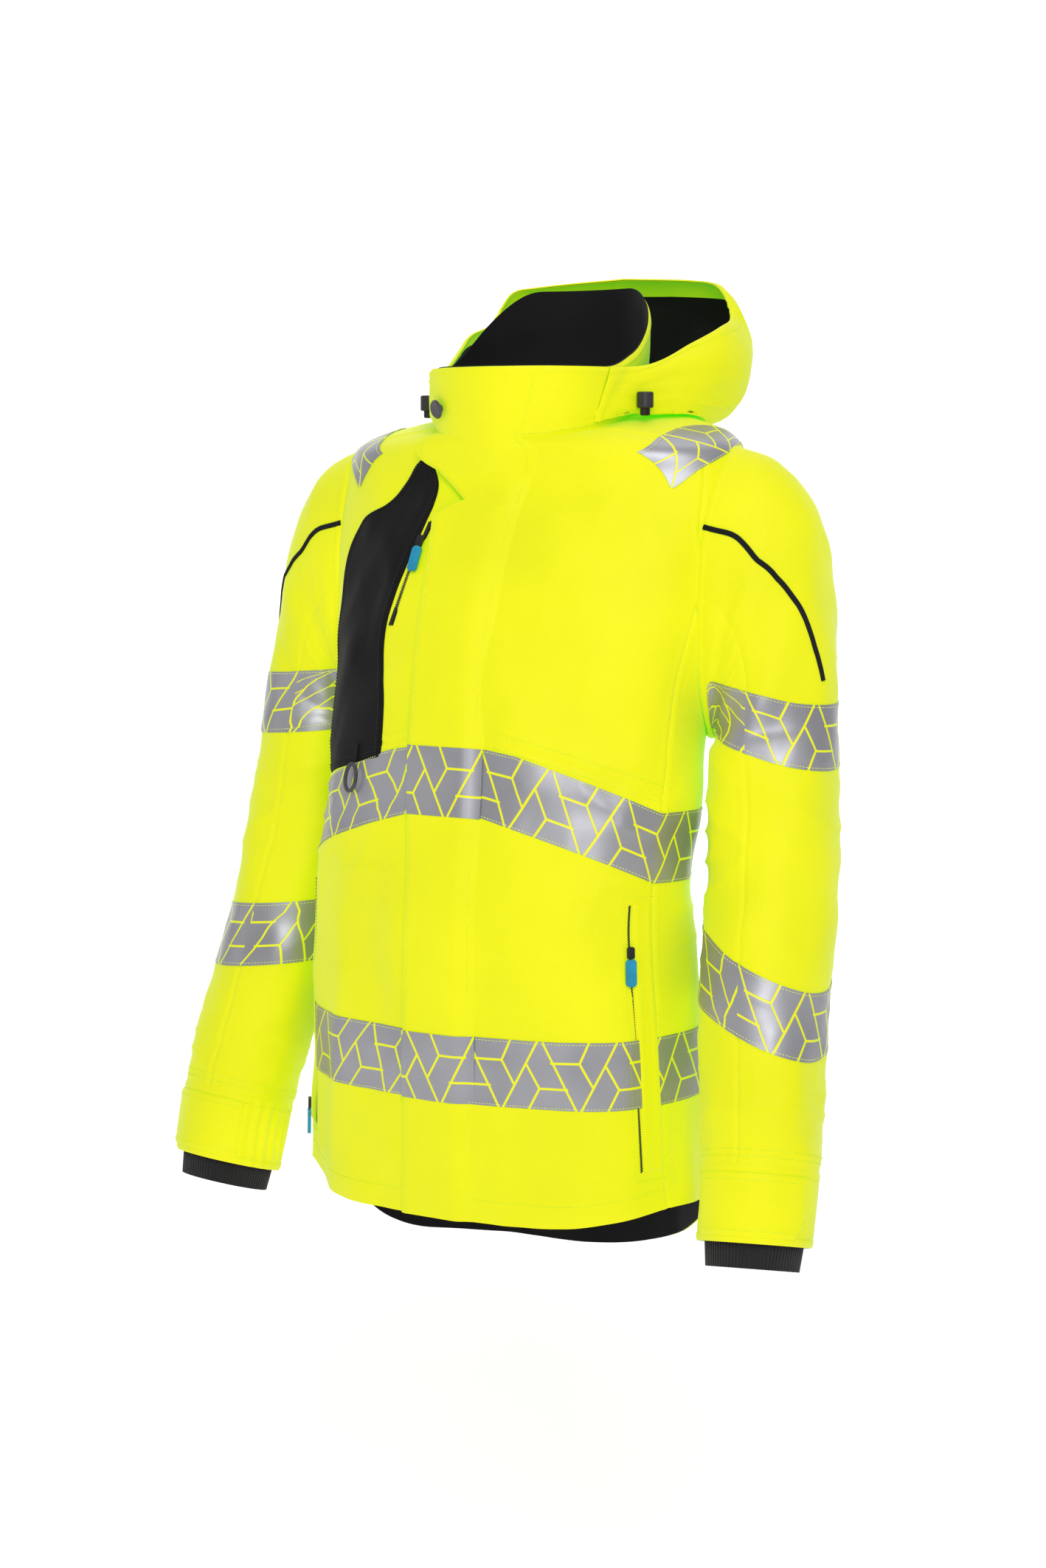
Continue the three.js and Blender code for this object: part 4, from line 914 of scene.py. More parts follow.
def row_tree(name, shape):
    """A node tree that sets one small solid at every step along a line, turned to the line and its outward side."""
    tree = bpy.data.node_groups.new(name, "GeometryNodeTree")
    face = tree.interface
    face.new_socket("Geometry", in_out="INPUT", socket_type="NodeSocketGeometry")
    for label, default in (("Step", 0.003), ("Length", 0.002), ("Width", 0.0007), ("Height", 0.0005)):
        socket = face.new_socket(label, in_out="INPUT", socket_type="NodeSocketFloat")
        socket.default_value = default
    face.new_socket("Finish", in_out="INPUT", socket_type="NodeSocketMaterial")
    seed = face.new_socket("Seed", in_out="INPUT", socket_type="NodeSocketInt")
    seed.default_value = 7
    face.new_socket("Geometry", in_out="OUTPUT", socket_type="NodeSocketGeometry")
    begin = node(tree, "NodeGroupInput")
    end = node(tree, "NodeGroupOutput")
    curve = node(tree, "GeometryNodeMeshToCurve", {"Mesh": begin.outputs["Geometry"]})
    points = node(tree, "GeometryNodeCurveToPoints", {"Curve": curve.outputs[0], "Length": begin.outputs["Step"]},
                  mode="LENGTH")
    away = node(tree, "GeometryNodeInputNamedAttribute", {"Name": "away"}, data_type="FLOAT_VECTOR")
    kept = node(tree, "GeometryNodeSwitch", {"Switch": True, "True": away.outputs[0]}, input_type="VECTOR")
    first = node(tree, "FunctionNodeAlignRotationToVector", {"Vector": points.outputs["Tangent"]}, axis="Z")
    second = node(tree, "FunctionNodeAlignRotationToVector",
                  {"Rotation": first.outputs[0], "Vector": kept.outputs[0]}, axis="X", pivot_axis="Z")
    if shape == "tooth":
        size = node(tree, "ShaderNodeCombineXYZ", {0: begin.outputs["Height"], 1: begin.outputs["Width"],
                                                   2: begin.outputs["Length"]})
        solid = node(tree, "GeometryNodeMeshCube", {"Size": size.outputs[0]})
        copies = node(tree, "GeometryNodeInstanceOnPoints", {"Points": points.outputs[0],
                      "Instance": solid.outputs[0], "Rotation": second.outputs[0]})
    else:
        solid = node(tree, "GeometryNodeMeshUVSphere", {"Segments": 6, "Rings": 4, "Radius": 0.5})
        swing = node(tree, "FunctionNodeRandomValue", {"Seed": begin.outputs["Seed"]}, data_type="FLOAT")
        swing.inputs[2].default_value = 0.85
        swing.inputs[3].default_value = 1.1
        length = node(tree, "ShaderNodeMath", {0: begin.outputs["Length"], 1: swing.outputs[1]}, operation="MULTIPLY")
        size = node(tree, "ShaderNodeCombineXYZ", {0: begin.outputs["Height"], 1: begin.outputs["Width"],
                                                   2: length.outputs[0]})
        copies = node(tree, "GeometryNodeInstanceOnPoints", {"Points": points.outputs[0],
                      "Instance": solid.outputs[0], "Rotation": second.outputs[0], "Scale": size.outputs[0]})
    real = node(tree, "GeometryNodeRealizeInstances", {"Geometry": copies.outputs[0]})
    shaded = node(tree, "GeometryNodeSetMaterial", {"Geometry": real.outputs[0], "Material": begin.outputs["Finish"]})
    tree.links.new(shaded.outputs[0], end.inputs[0])
    return tree


def row_of(name, lines, shape, finish_material, step, length, width, height, body, blend=None):
    """One plain mesh of stitches or teeth along several lines, each (points, outward normals) in garment mm."""
    verts, edges, away = [], [], []
    for points, normals in lines:
        start = len(verts)
        verts += to_frame(points).tolist()
        away += np.asarray(normals).tolist()
        edges += [(start + k, start + k + 1) for k in range(len(points) - 1)]
    mesh = bpy.data.meshes.new(name + "_line")
    mesh.from_pydata(verts, edges, [])
    attribute = mesh.attributes.new("away", "FLOAT_VECTOR", "POINT")
    attribute.data.foreach_set("vector", np.array(away, np.float32).ravel())
    obj = bpy.data.objects.new(name, mesh)
    bpy.context.scene.collection.objects.link(obj)
    tree = bpy.data.node_groups.get("row_" + shape) or row_tree("row_" + shape, shape)
    modifier = obj.modifiers.new("row", "NODES")
    modifier.node_group = tree
    ids = {item.name: item.identifier for item in tree.interface.items_tree if item.in_out == "INPUT"}
    for key, value in (("Step", step), ("Length", length), ("Width", width), ("Height", height),
                       ("Finish", finish_material), ("Seed", 7)):
        modifier[ids[key]] = value
    bpy.context.view_layer.update()
    graph = bpy.context.evaluated_depsgraph_get()
    result = bpy.data.meshes.new_from_object(obj.evaluated_get(graph))
    obj.modifiers.clear()
    obj.data = result
    result.name = name
    if not len(result.polygons):
        raise RuntimeError("no pieces came out for " + name)
    if not result.materials:
        result.materials.append(finish_material)
    result.polygons.foreach_set("use_smooth", np.full(len(result.polygons), shape == "stitch"))
    finish(obj, body, (), blend)
    return obj


def line_on(surface, u, v, lift=0.35):
    """A line of points and normals on a surface, lifted so that thread lies on the cloth."""
    u, v = np.broadcast_arrays(np.asarray(u, float), np.asarray(v, float))
    p, n = surface(u, v)
    return p + n * lift, n


# ------------------------------------------------------------------ shapes of the pieces


def body_patch(low_angle, high_angle, low_z, high_z):
    """Surface (u, v) on the worn body between angles that may follow the height and heights that may follow the angle."""
    def surface(u, v):
        middle = (low_angle(500.0) + high_angle(500.0)) / 2
        angle = np.full_like(u, middle)
        for _ in range(6):
            z = low_z(angle) + (high_z(angle) - low_z(angle)) * v
            angle = low_angle(z) + (high_angle(z) - low_angle(z)) * u
        return on_body(angle, z)
    return surface


def level(value):
    return lambda other: np.full_like(np.asarray(other, float), value)


def front_shoulder(z):
    return SIDE_FRONT + (SHOULDER_FRONT - SIDE_FRONT) * smooth(z, 578, 650)


def back_shoulder(z):
    return SIDE_BACK + (SHOULDER_BACK - SIDE_BACK) * smooth(z, 578, 650)


def outside_armhole(surface, u, v):
    return armhole_edge(surface(u, v)[0]) > -0.05


def sleeve_path(side, seed):
    return lambda v, angle, lift=0.0: on_sleeve(v, angle, lift, seed, side)


SEEDS = {1: 100, -1: 140}
SIDE_NAME = {1: "left", -1: "right"}


def sleeve_level(side, top, bottom):
    """Surface (u, v) of a sleeve strip between two heights that follow the angle around the arm."""
    along = np.linspace(60, CUFF_TOP - 4, 180)

    def place(angle, height):
        flat = np.ravel(angle)
        goal = np.ravel(height)
        z = sleeve_base(along[:, None], flat[None, :])[..., 2]
        return np.array([np.interp(-goal[k], -z[:, k], along) for k in range(len(flat))]).reshape(np.shape(angle))

    def surface(u, v):
        angle = u[0] * 360 - 90
        low = place(angle, bottom(angle))
        high = place(angle, top(angle))
        return on_sleeve(low + (high - low) * v, u * 360 - 90, 0.0, SEEDS[side], side)
    return surface


def past_end(v, angle):
    """Sleeve ring carried on past its last section, for the knit cuff."""
    base = sleeve_base(np.minimum(v, LAST_RING), angle)
    centre = sleeve_centre(np.full_like(v, LAST_RING))
    direction = unit(centre - sleeve_centre(np.full_like(v, LAST_RING - 20)))
    return base + direction * np.maximum(v - LAST_RING, 0)[..., None]


def inset(p, v, amount):
    centre = sleeve_centre(np.minimum(v, LAST_RING))
    direction = unit(sleeve_centre(np.full_like(v, LAST_RING)) - sleeve_centre(np.full_like(v, LAST_RING - 20)))
    centre = centre + direction * np.maximum(v - LAST_RING, 0)[..., None]
    away = p - centre
    reach = np.linalg.norm(away, axis=-1, keepdims=True)
    return p - away / reach * amount[..., None]


def on_cuff(v, angle, lift=0.0, side=1):
    v, angle = np.broadcast_arrays(np.asarray(v, float), np.asarray(angle, float))
    n = sleeve_normal(np.minimum(v, LAST_RING - 1), angle)
    turn = angle % 360
    gathered = smooth(turn, 140, 158) * (1 - smooth(turn, 212, 230))
    pleats = np.sin(np.radians(turn * 26 + 8 * np.sin(v / 9))) * 1.3 * gathered
    middle = np.sin(np.pi * np.clip((v - CUFF_TOP) / 66, 0, 1))
    soft = noise(np.stack([np.cos(np.radians(turn)) * 55, np.sin(np.radians(turn)) * 55, v], -1), (34, 34, 40), 91)
    d = 0.8 + lift + pleats * (0.35 + 0.65 * middle) + soft * 0.8 * middle - gathered * 2.2 * middle
    flip = np.array([side, 1, 1])
    return (sleeve_base(v, angle) + n * d[..., None]) * flip, n * flip


def on_knit(v, angle, side=1):
    v, angle = np.broadcast_arrays(np.asarray(v, float), np.asarray(angle, float))
    p = past_end(v, angle)
    ribs = 0.75 * np.abs(np.sin(np.radians(angle * 42))) ** 0.7
    share = (v - 726) / 61
    out = inset(p, v, 3.6 + 6.4 * np.clip(share, 0, 1) - ribs)
    n = sleeve_normal(np.full_like(v, LAST_RING - 1), angle)
    flip = np.array([side, 1, 1])
    return out * flip, n * flip


def on_tab(u, v, side=1):
    angle = 228 + (345 - 228) * u
    free = smooth(u, 0.9, 1.0)
    half = 27.5 * np.ones_like(u)
    place = 732 + (v - 0.5) * 2 * half * (1 - 0.42 * free * (v > 0.5))
    p, n = on_cuff(place, angle, 0.0, side)
    turn = angle % 360
    flat = sleeve_base(place, angle) * np.array([side, 1, 1])
    calm = p * 0.25 + flat * 0.75
    return calm + n * (2.6 + 1.1 * smooth(u, 0.7, 1.0) + 0.3 * np.sin(np.radians(turn * 3)))[..., None], n


def shoulder_band(side):
    inner_angle = outline([(0, 44.5), (0.3, 69.5), (0.62, 102), (1, 131)])
    inner_z = outline([(0, 708), (0.3, 724), (0.62, 733), (1, 716)])
    outer_angle = outline([(0, 51), (0.3, 68), (0.62, 106), (1, 127)])
    outer_z = outline([(0, 674), (0.3, 697), (0.62, 716), (1, 680)])

    def surface(u, v):
        angle = inner_angle(u) + (outer_angle(u) - inner_angle(u)) * v
        return on_body(side * angle, inner_z(u) + (outer_z(u) - inner_z(u)) * v)
    return surface


def sleeve_route(side, route):
    """Places on the front of the sleeve nearest to a route given in (x, z)."""
    v, a = np.meshgrid(np.linspace(2, 420, 210), np.linspace(-100, 10, 111), indexing="ij")
    p = sleeve_base(v, a)
    found = []
    for x, z in route:
        far = (p[..., 0] - x) ** 2 + (p[..., 2] - z) ** 2
        k = np.unravel_index(np.argmin(far), far.shape)
        found.append((v[k], a[k]))
    return np.array(found)


def ribbon(name, centre, normals, width, lift, thick, finish_material, body, blend=None, dome=0.8, nodes=()):
    """A narrow domed strip along a line on the cloth, such as piping, a zip tape or a bound edge."""
    centre, normals = np.asarray(centre, float), unit(np.asarray(normals, float))
    tangent = unit(np.gradient(centre, axis=0))
    across = unit(np.cross(tangent, normals))
    steps = np.linspace(-0.5, 0.5, 7)
    rise = dome * (1 - (2 * steps) ** 2)
    p = centre[None] + across[None] * (steps * width)[:, None, None]
    outer = p + normals[None] * (lift + rise)[:, None, None]
    inner = p + normals[None] * (lift - thick)
    uv = arc_uv(outer)
    obj = shell_mesh(name, outer, inner, uv, [finish_material], inner_slot=0)
    finish(obj, body, nodes, blend)
    return obj


def resampled(points, step):
    points = np.asarray(points, float)
    length = np.concatenate([[0], np.cumsum(np.linalg.norm(np.diff(points, axis=0), axis=1))])
    count = max(int(length[-1] / step), 2) + 1
    place = np.linspace(0, length[-1], count)
    return np.stack([np.interp(place, length, points[:, k]) for k in range(points.shape[1])], 1)


def zip_chain(name, angle_at, low, high, width, tape_width, nodes, tooth=1.5, sink=0.2, wave=None, tape="piping"):
    """Cloth tapes and two interleaved rows of moulded teeth along a line on the body."""
    z = np.linspace(low, high, int((high - low) / 3) + 2)
    p, n = on_body(angle_at(z), z)
    if wave is not None:
        p = p + n * wave(z)[:, None]
    ribbon(name, p, n, tape_width, sink + 0.9, 0.9, STUFF[tape], "jacket", dome=0.15, nodes=nodes)
    rows = []
    across = unit(np.cross(unit(np.gradient(p, axis=0)), n))
    for sign in (-1, 1):
        shift = np.linspace(0, 1, len(z))
        line = p + across * sign * width * 0.16 + n * (sink + 1.25)
        start = resampled(np.concatenate([line, n], 1), 3)
        offset = unit(start[-1:, :3] - start[:1, :3]) * (0.75 if sign > 0 else 0) * tooth
        rows.append((start[:, :3] + offset * (1 - 0.0 * shift[0]), start[:, 3:]))
    row_of(name + "_teeth", rows, "tooth", STUFF["teeth"], tooth * 1.5 / 1000, tooth * 0.9 / 1000,
           width * 0.62 / 1000, 0.0009, "jacket")


def stitches(name, lines, body, blend=None, thread="stitch", step=3.3):
    row_of(name, lines, "stitch", STUFF[thread], step / 1000, 0.0025, 0.00075, 0.0006, body, blend)


def closed_line(surface, place, lift=0.35, count=240):
    turn = np.linspace(0, 1, count)
    return line_on(lambda u, v: surface(u, v), turn, np.full(count, place), lift)


def flap_blend():
    return ("jacket", "storm_flap", (0.045, -0.160, -0.45), (0.012, -0.164, -0.45))


def sleeve_blend(side):
    flip = np.array([side, 1, 1])
    start = to_frame(sleeve_centre(np.array(345.0)) * flip)
    end = to_frame(sleeve_centre(np.array(515.0)) * flip)
    return ("jacket", SIDE_NAME[side] + "_forearm", tuple(start), tuple(end))


def hood_blend():
    axis = np.array([0, 0.5, 0.85])
    axis = axis / np.linalg.norm(axis)
    low = axis * 722 - np.array([0, 0, NECK])
    high = axis * 800 - np.array([0, 0, NECK])
    return ("jacket", "hood", tuple(low / 1000), tuple(high / 1000))


def make_body(settings):
    shell = [STUFF["shell"], STUFF["lining"]]
    step = settings.cloth_step
    for side in (1, -1):
        name = SIDE_NAME[side]

        def turned_patch(a0, a1, z0, z1, side=side):
            base = body_patch(a0, a1, z0, z1)

            def surface(u, v):
                if side > 0:
                    return base(u, v)
                middle = (a0(500.0) + a1(500.0)) / 2
                angle = np.full_like(u, middle)
                for _ in range(6):
                    z = z0(-angle) + (z1(-angle) - z0(-angle)) * v
                    angle = a0(z) + (a1(z) - a0(z)) * u
                return on_body(-angle, z)
            return surface
        lower = turned_patch(level(0.0), level(SIDE_FRONT), hem_z, chest_seam)
        u, v = grid(step, 210, step, 447)
        cloth(name + "_front_lower_cloth", lower, u, v, shell, "jacket", [name + "_front_lower"], seams=(0, 1, 0, 1))
        upper = turned_patch(level(0.0), front_shoulder, chest_seam, neck_z)
        u, v = grid(step, 240, step, 290)
        cloth(name + "_front_upper_cloth", upper, u, v, shell, "jacket", [name + "_front_upper"],
              keep=outside_armhole(upper, u, v), seams=(0, 1, 1, 1))
        flank = turned_patch(level(SIDE_FRONT), level(SIDE_BACK), hem_z, level(578.0))
        u, v = grid(step, 90, step, 580)
        cloth(name + "_side_cloth", flank, u, v, shell, "jacket", [name + "_side_panel"],
              keep=outside_armhole(flank, u, v), seams=(1, 1, 0, 0))
        top = turned_patch(front_shoulder, back_shoulder, level(578.0), neck_z)
        u, v = grid(step, 90, step, 170)
        cloth(name + "_shoulder_cloth", top, u, v, shell, "jacket", [name + "_shoulder_panel"],
              keep=outside_armhole(top, u, v), seams=(1, 1, 0, 1))
        stitches(name + "_front_seam_stitches", [
            line_on(lower, np.linspace(0.16, 0.985, 160), np.full(160, 0.984)),
            line_on(upper, np.linspace(0.16, 0.985, 160), np.full(160, 0.026)),
            line_on(lower, np.linspace(0.01, 0.99, 160), np.full(160, 0.048)),
        ], "jacket")
    back = body_patch(level(SIDE_BACK), level(360 - SIDE_BACK), hem_z, level(YOKE_Z))
    u, v = grid(step, 380, step, 637)
    cloth("back_cloth", back, u, v, shell, "jacket", ["back_panel"], keep=outside_armhole(back, u, v),
          seams=(1, 1, 0, 1))
    yoke = body_patch(back_shoulder, lambda z: 360 - back_shoulder(z), level(YOKE_Z), neck_z)
    u, v = grid(step, 380, step, 230)
    cloth("back_yoke_cloth", yoke, u, v, shell, "jacket", ["back_yoke"], keep=outside_armhole(yoke, u, v),
          seams=(1, 1, 1, 1))
    stitches("back_seam_stitches", [
        line_on(back, np.linspace(0.02, 0.98, 260), np.full(260, 0.988)),
        line_on(yoke, np.linspace(0.04, 0.96, 260), np.full(260, 0.035)),
        line_on(back, np.linspace(0.01, 0.99, 260), np.full(260, 0.035)),
    ], "jacket")

    def facing(u, v):
        angle = u * 360
        low = hem_z(angle)
        p, n = on_body(angle, low + 0.2 + 58 * v)
        return p - n * 2.6, n
    u, v = grid(4, 900, 4, 60)
    cloth("hem_facing_cloth", facing, u[:, :-1], v[:, :-1], [STUFF["lining"]], "jacket", ["hem_facing"], thick=0.8,
          closed=False, inner_slot=0)


def make_collar(settings):
    def wall(u, v):
        angle = u * 360 - 180
        low = neck_z(angle)
        z = low + (collar_top(angle) - low) * v
        p, n = on_body(angle, z)
        ripple = noise(p, (30, 30, 40), 83) * 1.4 * smooth(v, 0.1, 0.5) * smooth(np.abs(angle), 8, 20)
        sunk = 1.2 * (1 - smooth(np.abs(angle), 4, 9))
        return p + n * (ripple - sunk)[..., None], n
    step = settings.cloth_step
    cols, rows = int(600 / step), int(120 / step)
    u, v = np.meshgrid(np.arange(cols) / cols, np.linspace(0, 1, rows))
    cloth("collar_cloth", wall, u, v, [STUFF["shell"], STUFF["lining"]], "jacket", ["collar_shell"],
          closed=True, seams=(0, 0, 1, 1), lift=0.5, thick=1.4)

    def inside(u, v):
        p, n = wall(u, v * 1.015)
        return p - n * 1.6, n
    cloth("collar_lining_cloth", inside, u, v, [STUFF["lining"]], "jacket", ["collar_lining"], closed=True,
          thick=1.2, inner_slot=0)
    stitches("collar_stitches", [closed_line(wall, 0.93, 0.9), closed_line(wall, 0.06, 0.9)], "jacket")
    loop_x = np.concatenate([np.full(6, -26), np.linspace(-26, 26, 22), np.full(6, 26)])
    fall = np.concatenate([np.linspace(9, 0, 6), 13 * (1 - np.linspace(-1, 1, 22) ** 2), np.linspace(0, 9, 6)])
    centre, away = on_body(180 - loop_x / 1.55, np.full(34, NECK + NECK_RISE - 6.0))
    low = np.concatenate([np.full(6, 1.0), 1 - np.linspace(-1, 1, 22) ** 2, np.full(6, 0.0)])
    path = centre - away * (4.2 + fall * 0.45 + 0 * low)[:, None]
    ribbon("hanger_loop_tape", path, unit(np.array([0, 0, 1.0]) * np.ones_like(path)), 2.2, 0.4, 1.0,
           STUFF["piping"], "jacket", nodes=["hanger_loop"])


def make_hood(settings):
    step = settings.cloth_step
    shell = [STUFF["shell"], STUFF["lining"]]

    def part(low, high, deep=1.0):
        return lambda u, v: on_hood(low + (high - low) * u, v * 0.975 * deep)
    u, v = grid(step, 460, step, 190)
    cloth("hood_centre_cloth", part(-0.52, 0.52), u, v, shell, "jacket", ["hood_crown", "hood_base"],
          seams=(1, 1, 1, 0), blend=hood_blend())
    u, v = grid(step, 220, step, 150)
    for side in (1, -1):
        name = SIDE_NAME[side]
        low, high = (0.52, 0.985) if side > 0 else (-0.985, -0.52)
        cloth(name + "_hood_cloth", part(low, high), u, v, shell, "jacket",
              [name + "_hood_wing", name + "_hood_side"], seams=(1, 1, 1, 0), blend=hood_blend())
    u, v = grid(5, 760, 4, 150)

    def lining(u, v):
        p, n = on_hood(-0.97 + 1.94 * u, 0.09 + 0.86 * v)
        return p - n * 2.2, n
    cloth("hood_lining_cloth", lining, u, v, [STUFF["lining"]], "jacket", thick=0.7,
          blend=hood_blend(), inner_slot=0)

    def brim(u, v):
        p, n = on_hood(-0.96 + 1.92 * u, 0.004 + 0.11 * v)
        return p - n * 2.2, n
    u, v = grid(step, 760, 3, 24)
    # The brim facing uses the darker shaded copy of the shell cloth: painted shade.
    cloth("hood_brim_facing", brim, u, v, [STUFF["shell_inside"]], "jacket", thick=0.9, blend=hood_blend(),
          inner_slot=0)
    lines = [line_on(lambda a, b: on_hood(a, b), np.linspace(-0.95, 0.95, 300), np.full(300, 0.075))]
    for seam in (-0.52, 0.52):
        for off in (-0.012, 0.012):
            lines.append(line_on(lambda a, b: on_hood(a, b), np.full(80, seam + off), np.linspace(0.03, 0.96, 80)))
    stitches("hood_stitches", lines, "jacket", blend=hood_blend())


def make_flap(settings):
    step = settings.cloth_step
    u, v = grid(step, 50, step, 787)

    def surface(u, v):
        return on_flap(u, v * 787)
    # The flap's underside uses the darker shaded copy of the shell cloth: painted shade.
    cloth("storm_flap_cloth", surface, u, v, [STUFF["shell"], STUFF["shell_inside"]], "storm_flap",
          ["storm_flap"], thick=2.2, seams=(1, 1, 0, 1), blend=flap_blend(), inner_slot=1)
    places = np.linspace(0.006, 0.993, 520)
    lines = [line_on(surface, np.full(520, edge), places, 0.5) for edge in (0.09, 0.94)]
    stitches("storm_flap_stitches", lines, "storm_flap", blend=flap_blend())


def make_sleeve(settings, side):
    name = SIDE_NAME[side]
    step = settings.cloth_step
    forearm = name + "_forearm"
    for part, low, nodes in (("outer", -90, "outer"), ("inner", 90, "inner")):
        u, v = grid(step, 205, step, CUFF_TOP)

        def surface(u, v, low=low):
            return on_sleeve(v * CUFF_TOP, low + 180 * u, 0.0, SEEDS[side], side)
        cloth(name + "_sleeve_" + part + "_cloth", surface, u, v, [STUFF["shell"], STUFF["lining"]], "jacket",
              [name + "_upper_sleeve_" + nodes, name + "_lower_sleeve_" + nodes], seams=(1, 1, 1, 0),
              blend=sleeve_blend(side))
    turn = np.linspace(-90, 270, 260)
    lines = []
    for place in (CUFF_TOP - 9, CUFF_TOP - 15):
        lines.append(line_on(lambda a, b: on_sleeve(b, a, 0.0, SEEDS[side], side), turn, np.full(260, place)))
    stitches(name + "_sleeve_stitches", lines, forearm)
    cols = 330
    u, v = np.meshgrid(np.arange(cols) / cols, np.linspace(0, 1, 26))

    def cuff(u, v):
        return on_cuff(CUFF_TOP - 3 + 69 * v, u * 360, 0.0, side)
    cloth(name + "_cuff_cloth", cuff, u, v, [STUFF["shell"], STUFF["lining"]], forearm, [name + "_cuff"],
          closed=True, seams=(0, 0, 1, 1))
    stitches(name + "_cuff_stitches", [closed_line(cuff, 0.12, 0.5), closed_line(cuff, 0.9, 0.5)], forearm)
    cols = 504
    u, v = np.meshgrid(np.arange(cols) / cols, np.linspace(0, 1, 22))
    cloth(name + "_knit_cuff_cloth", lambda a, b: on_knit(726 + 61 * b, a * 360, side), u, v, [STUFF["knit"]],
          forearm, [name + "_knit_cuff"], closed=True, thick=2.2, inner_slot=0)
    u, v = grid(3, 130, 3, 55)
    cloth(name + "_cuff_tab_cloth", lambda a, b: on_tab(a, b, side), u, v, [STUFF["shell"]],
          name + "_cuff_tab", [name + "_cuff_tab"], thick=1.8, seams=(1, 1, 1, 1), inner_slot=0)
    across = np.linspace(0.05, 0.95, 90)
    lines = [line_on(lambda a, b: on_tab(a, b, side), across, np.full(90, edge), 0.5) for edge in (0.1, 0.9)]
    lines.append(line_on(lambda a, b: on_tab(a, b, side), np.full(40, 0.95), np.linspace(0.1, 0.9, 40), 0.5))
    stitches(name + "_cuff_tab_stitches", lines, name + "_cuff_tab")


def band(name, surface, u, v, body, blend=None, lift=0.75, closed=False):
    """A reflective band sewn on the cloth, with its pattern laid out in real millimetres."""
    p, n = surface(u, v)
    p = p + n * lift
    uv = arc_uv(p, closed)
    uv[..., 1] = np.concatenate([v, v[:, :1]], 1)[:, :uv.shape[1]] * 0.063
    obj = shell_mesh(name, p, p - n * 0.6, uv, [STUFF["band"]], closed, inner_slot=0)
    finish(obj, body, (), blend, True)
    return obj


def make_bands(settings):
    step = settings.cloth_step
    top = straight([(0, 438), (9, 437), (18, 432), (43, 408), (73, 380), (100, 378), (180, 378)])
    bottom = straight([(0, 375), (10, 375), (37.5, 350), (73, 317), (98, 314), (180, 314)])

    def chest(u, v):
        angle = 8 + u * 344
        low = bottom(around(angle))
        return on_body(angle, low + (top(around(angle)) - low) * v)

    def waist(u, v):
        return on_body(8 + u * 344, 112 + 63 * v)
    u, v = grid(step, 1150, step, 63)
    band("chest_band", chest, u, v, "jacket")
    band("waist_band", waist, u, v, "jacket")
    edges = [line_on(chest, np.linspace(0, 1, 480), np.full(480, e), 1.15) for e in (0.03, 0.97)]
    edges += [line_on(waist, np.linspace(0, 1, 480), np.full(480, e), 1.15) for e in (0.03, 0.97)]
    stitches("body_band_stitches", edges, "jacket", thread="stitch_pale")
    u, v = grid(step, 50, step, 63)
    for label, low in (("chest", 374), ("waist", 112)):
        band("storm_flap_" + label + "_band", lambda a, b, low=low: on_flap(a, low + 63 * b), u, v, "storm_flap",
             flap_blend())
    for side in (1, -1):
        name = SIDE_NAME[side]
        u, v = grid(step, 170, step, 60)
        surface = shoulder_band(side)
        band(name + "_shoulder_band", surface, u, v, "jacket", lift=0.9)
        lines = [line_on(surface, np.linspace(0.01, 0.99, 90), np.full(90, e), 1.3) for e in (0.04, 0.96)]
        stitches(name + "_shoulder_band_stitches", lines, "jacket", thread="stitch_pale")
        swing = (13.5, 18, 28, 25) if side > 0 else (5, 5, 5, 5)
        upper = (491.5, 436) if side > 0 else (491, 430)
        lower = (250, 188) if side > 0 else (260, 199)
        u, v = grid(step, 410, step, 62)
        for label, (high, low), (a, b) in (("upper", upper, swing[:2]), ("lower", lower, swing[2:])):
            surface = sleeve_level(side, lambda g, h=high, k=a: h - k * np.cos(np.radians(g)),
                                   lambda g, h=low, k=b: h - k * np.cos(np.radians(g)))
            band(name + "_" + label + "_sleeve_band", surface, u, v, "jacket", sleeve_blend(side))
            edge = u[:1]
            lines = []
            for e in (0.04, 0.96):
                p, n = surface(edge, np.full_like(edge, e))
                lines.append((p[0] + n[0] * 1.15, n[0]))
            stitches(name + "_" + label + "_sleeve_band_stitches", lines, "jacket", blend=sleeve_blend(side),
                     thread="stitch_pale")


overlay_inner = outline([
    (424, -22.4), (472, -23.2), (519, -24.9), (550, -24.6), (578, -22.2), (598, -19.9), (616, -18.4),
    (641, -16.3), (659, -14.9), (680, -15.2), (706, -19.5),
])
overlay_outer = outline([
    (424, -57), (472, -60), (560, -60), (600, -56), (643, -43.7), (657, -33.6), (679, -27.2), (696, -24.2),
    (706, -22),
])


def chest_zip_angle(z):
    return -14.6 - 0.087 * (CHEST_ZIP_TOP - z)


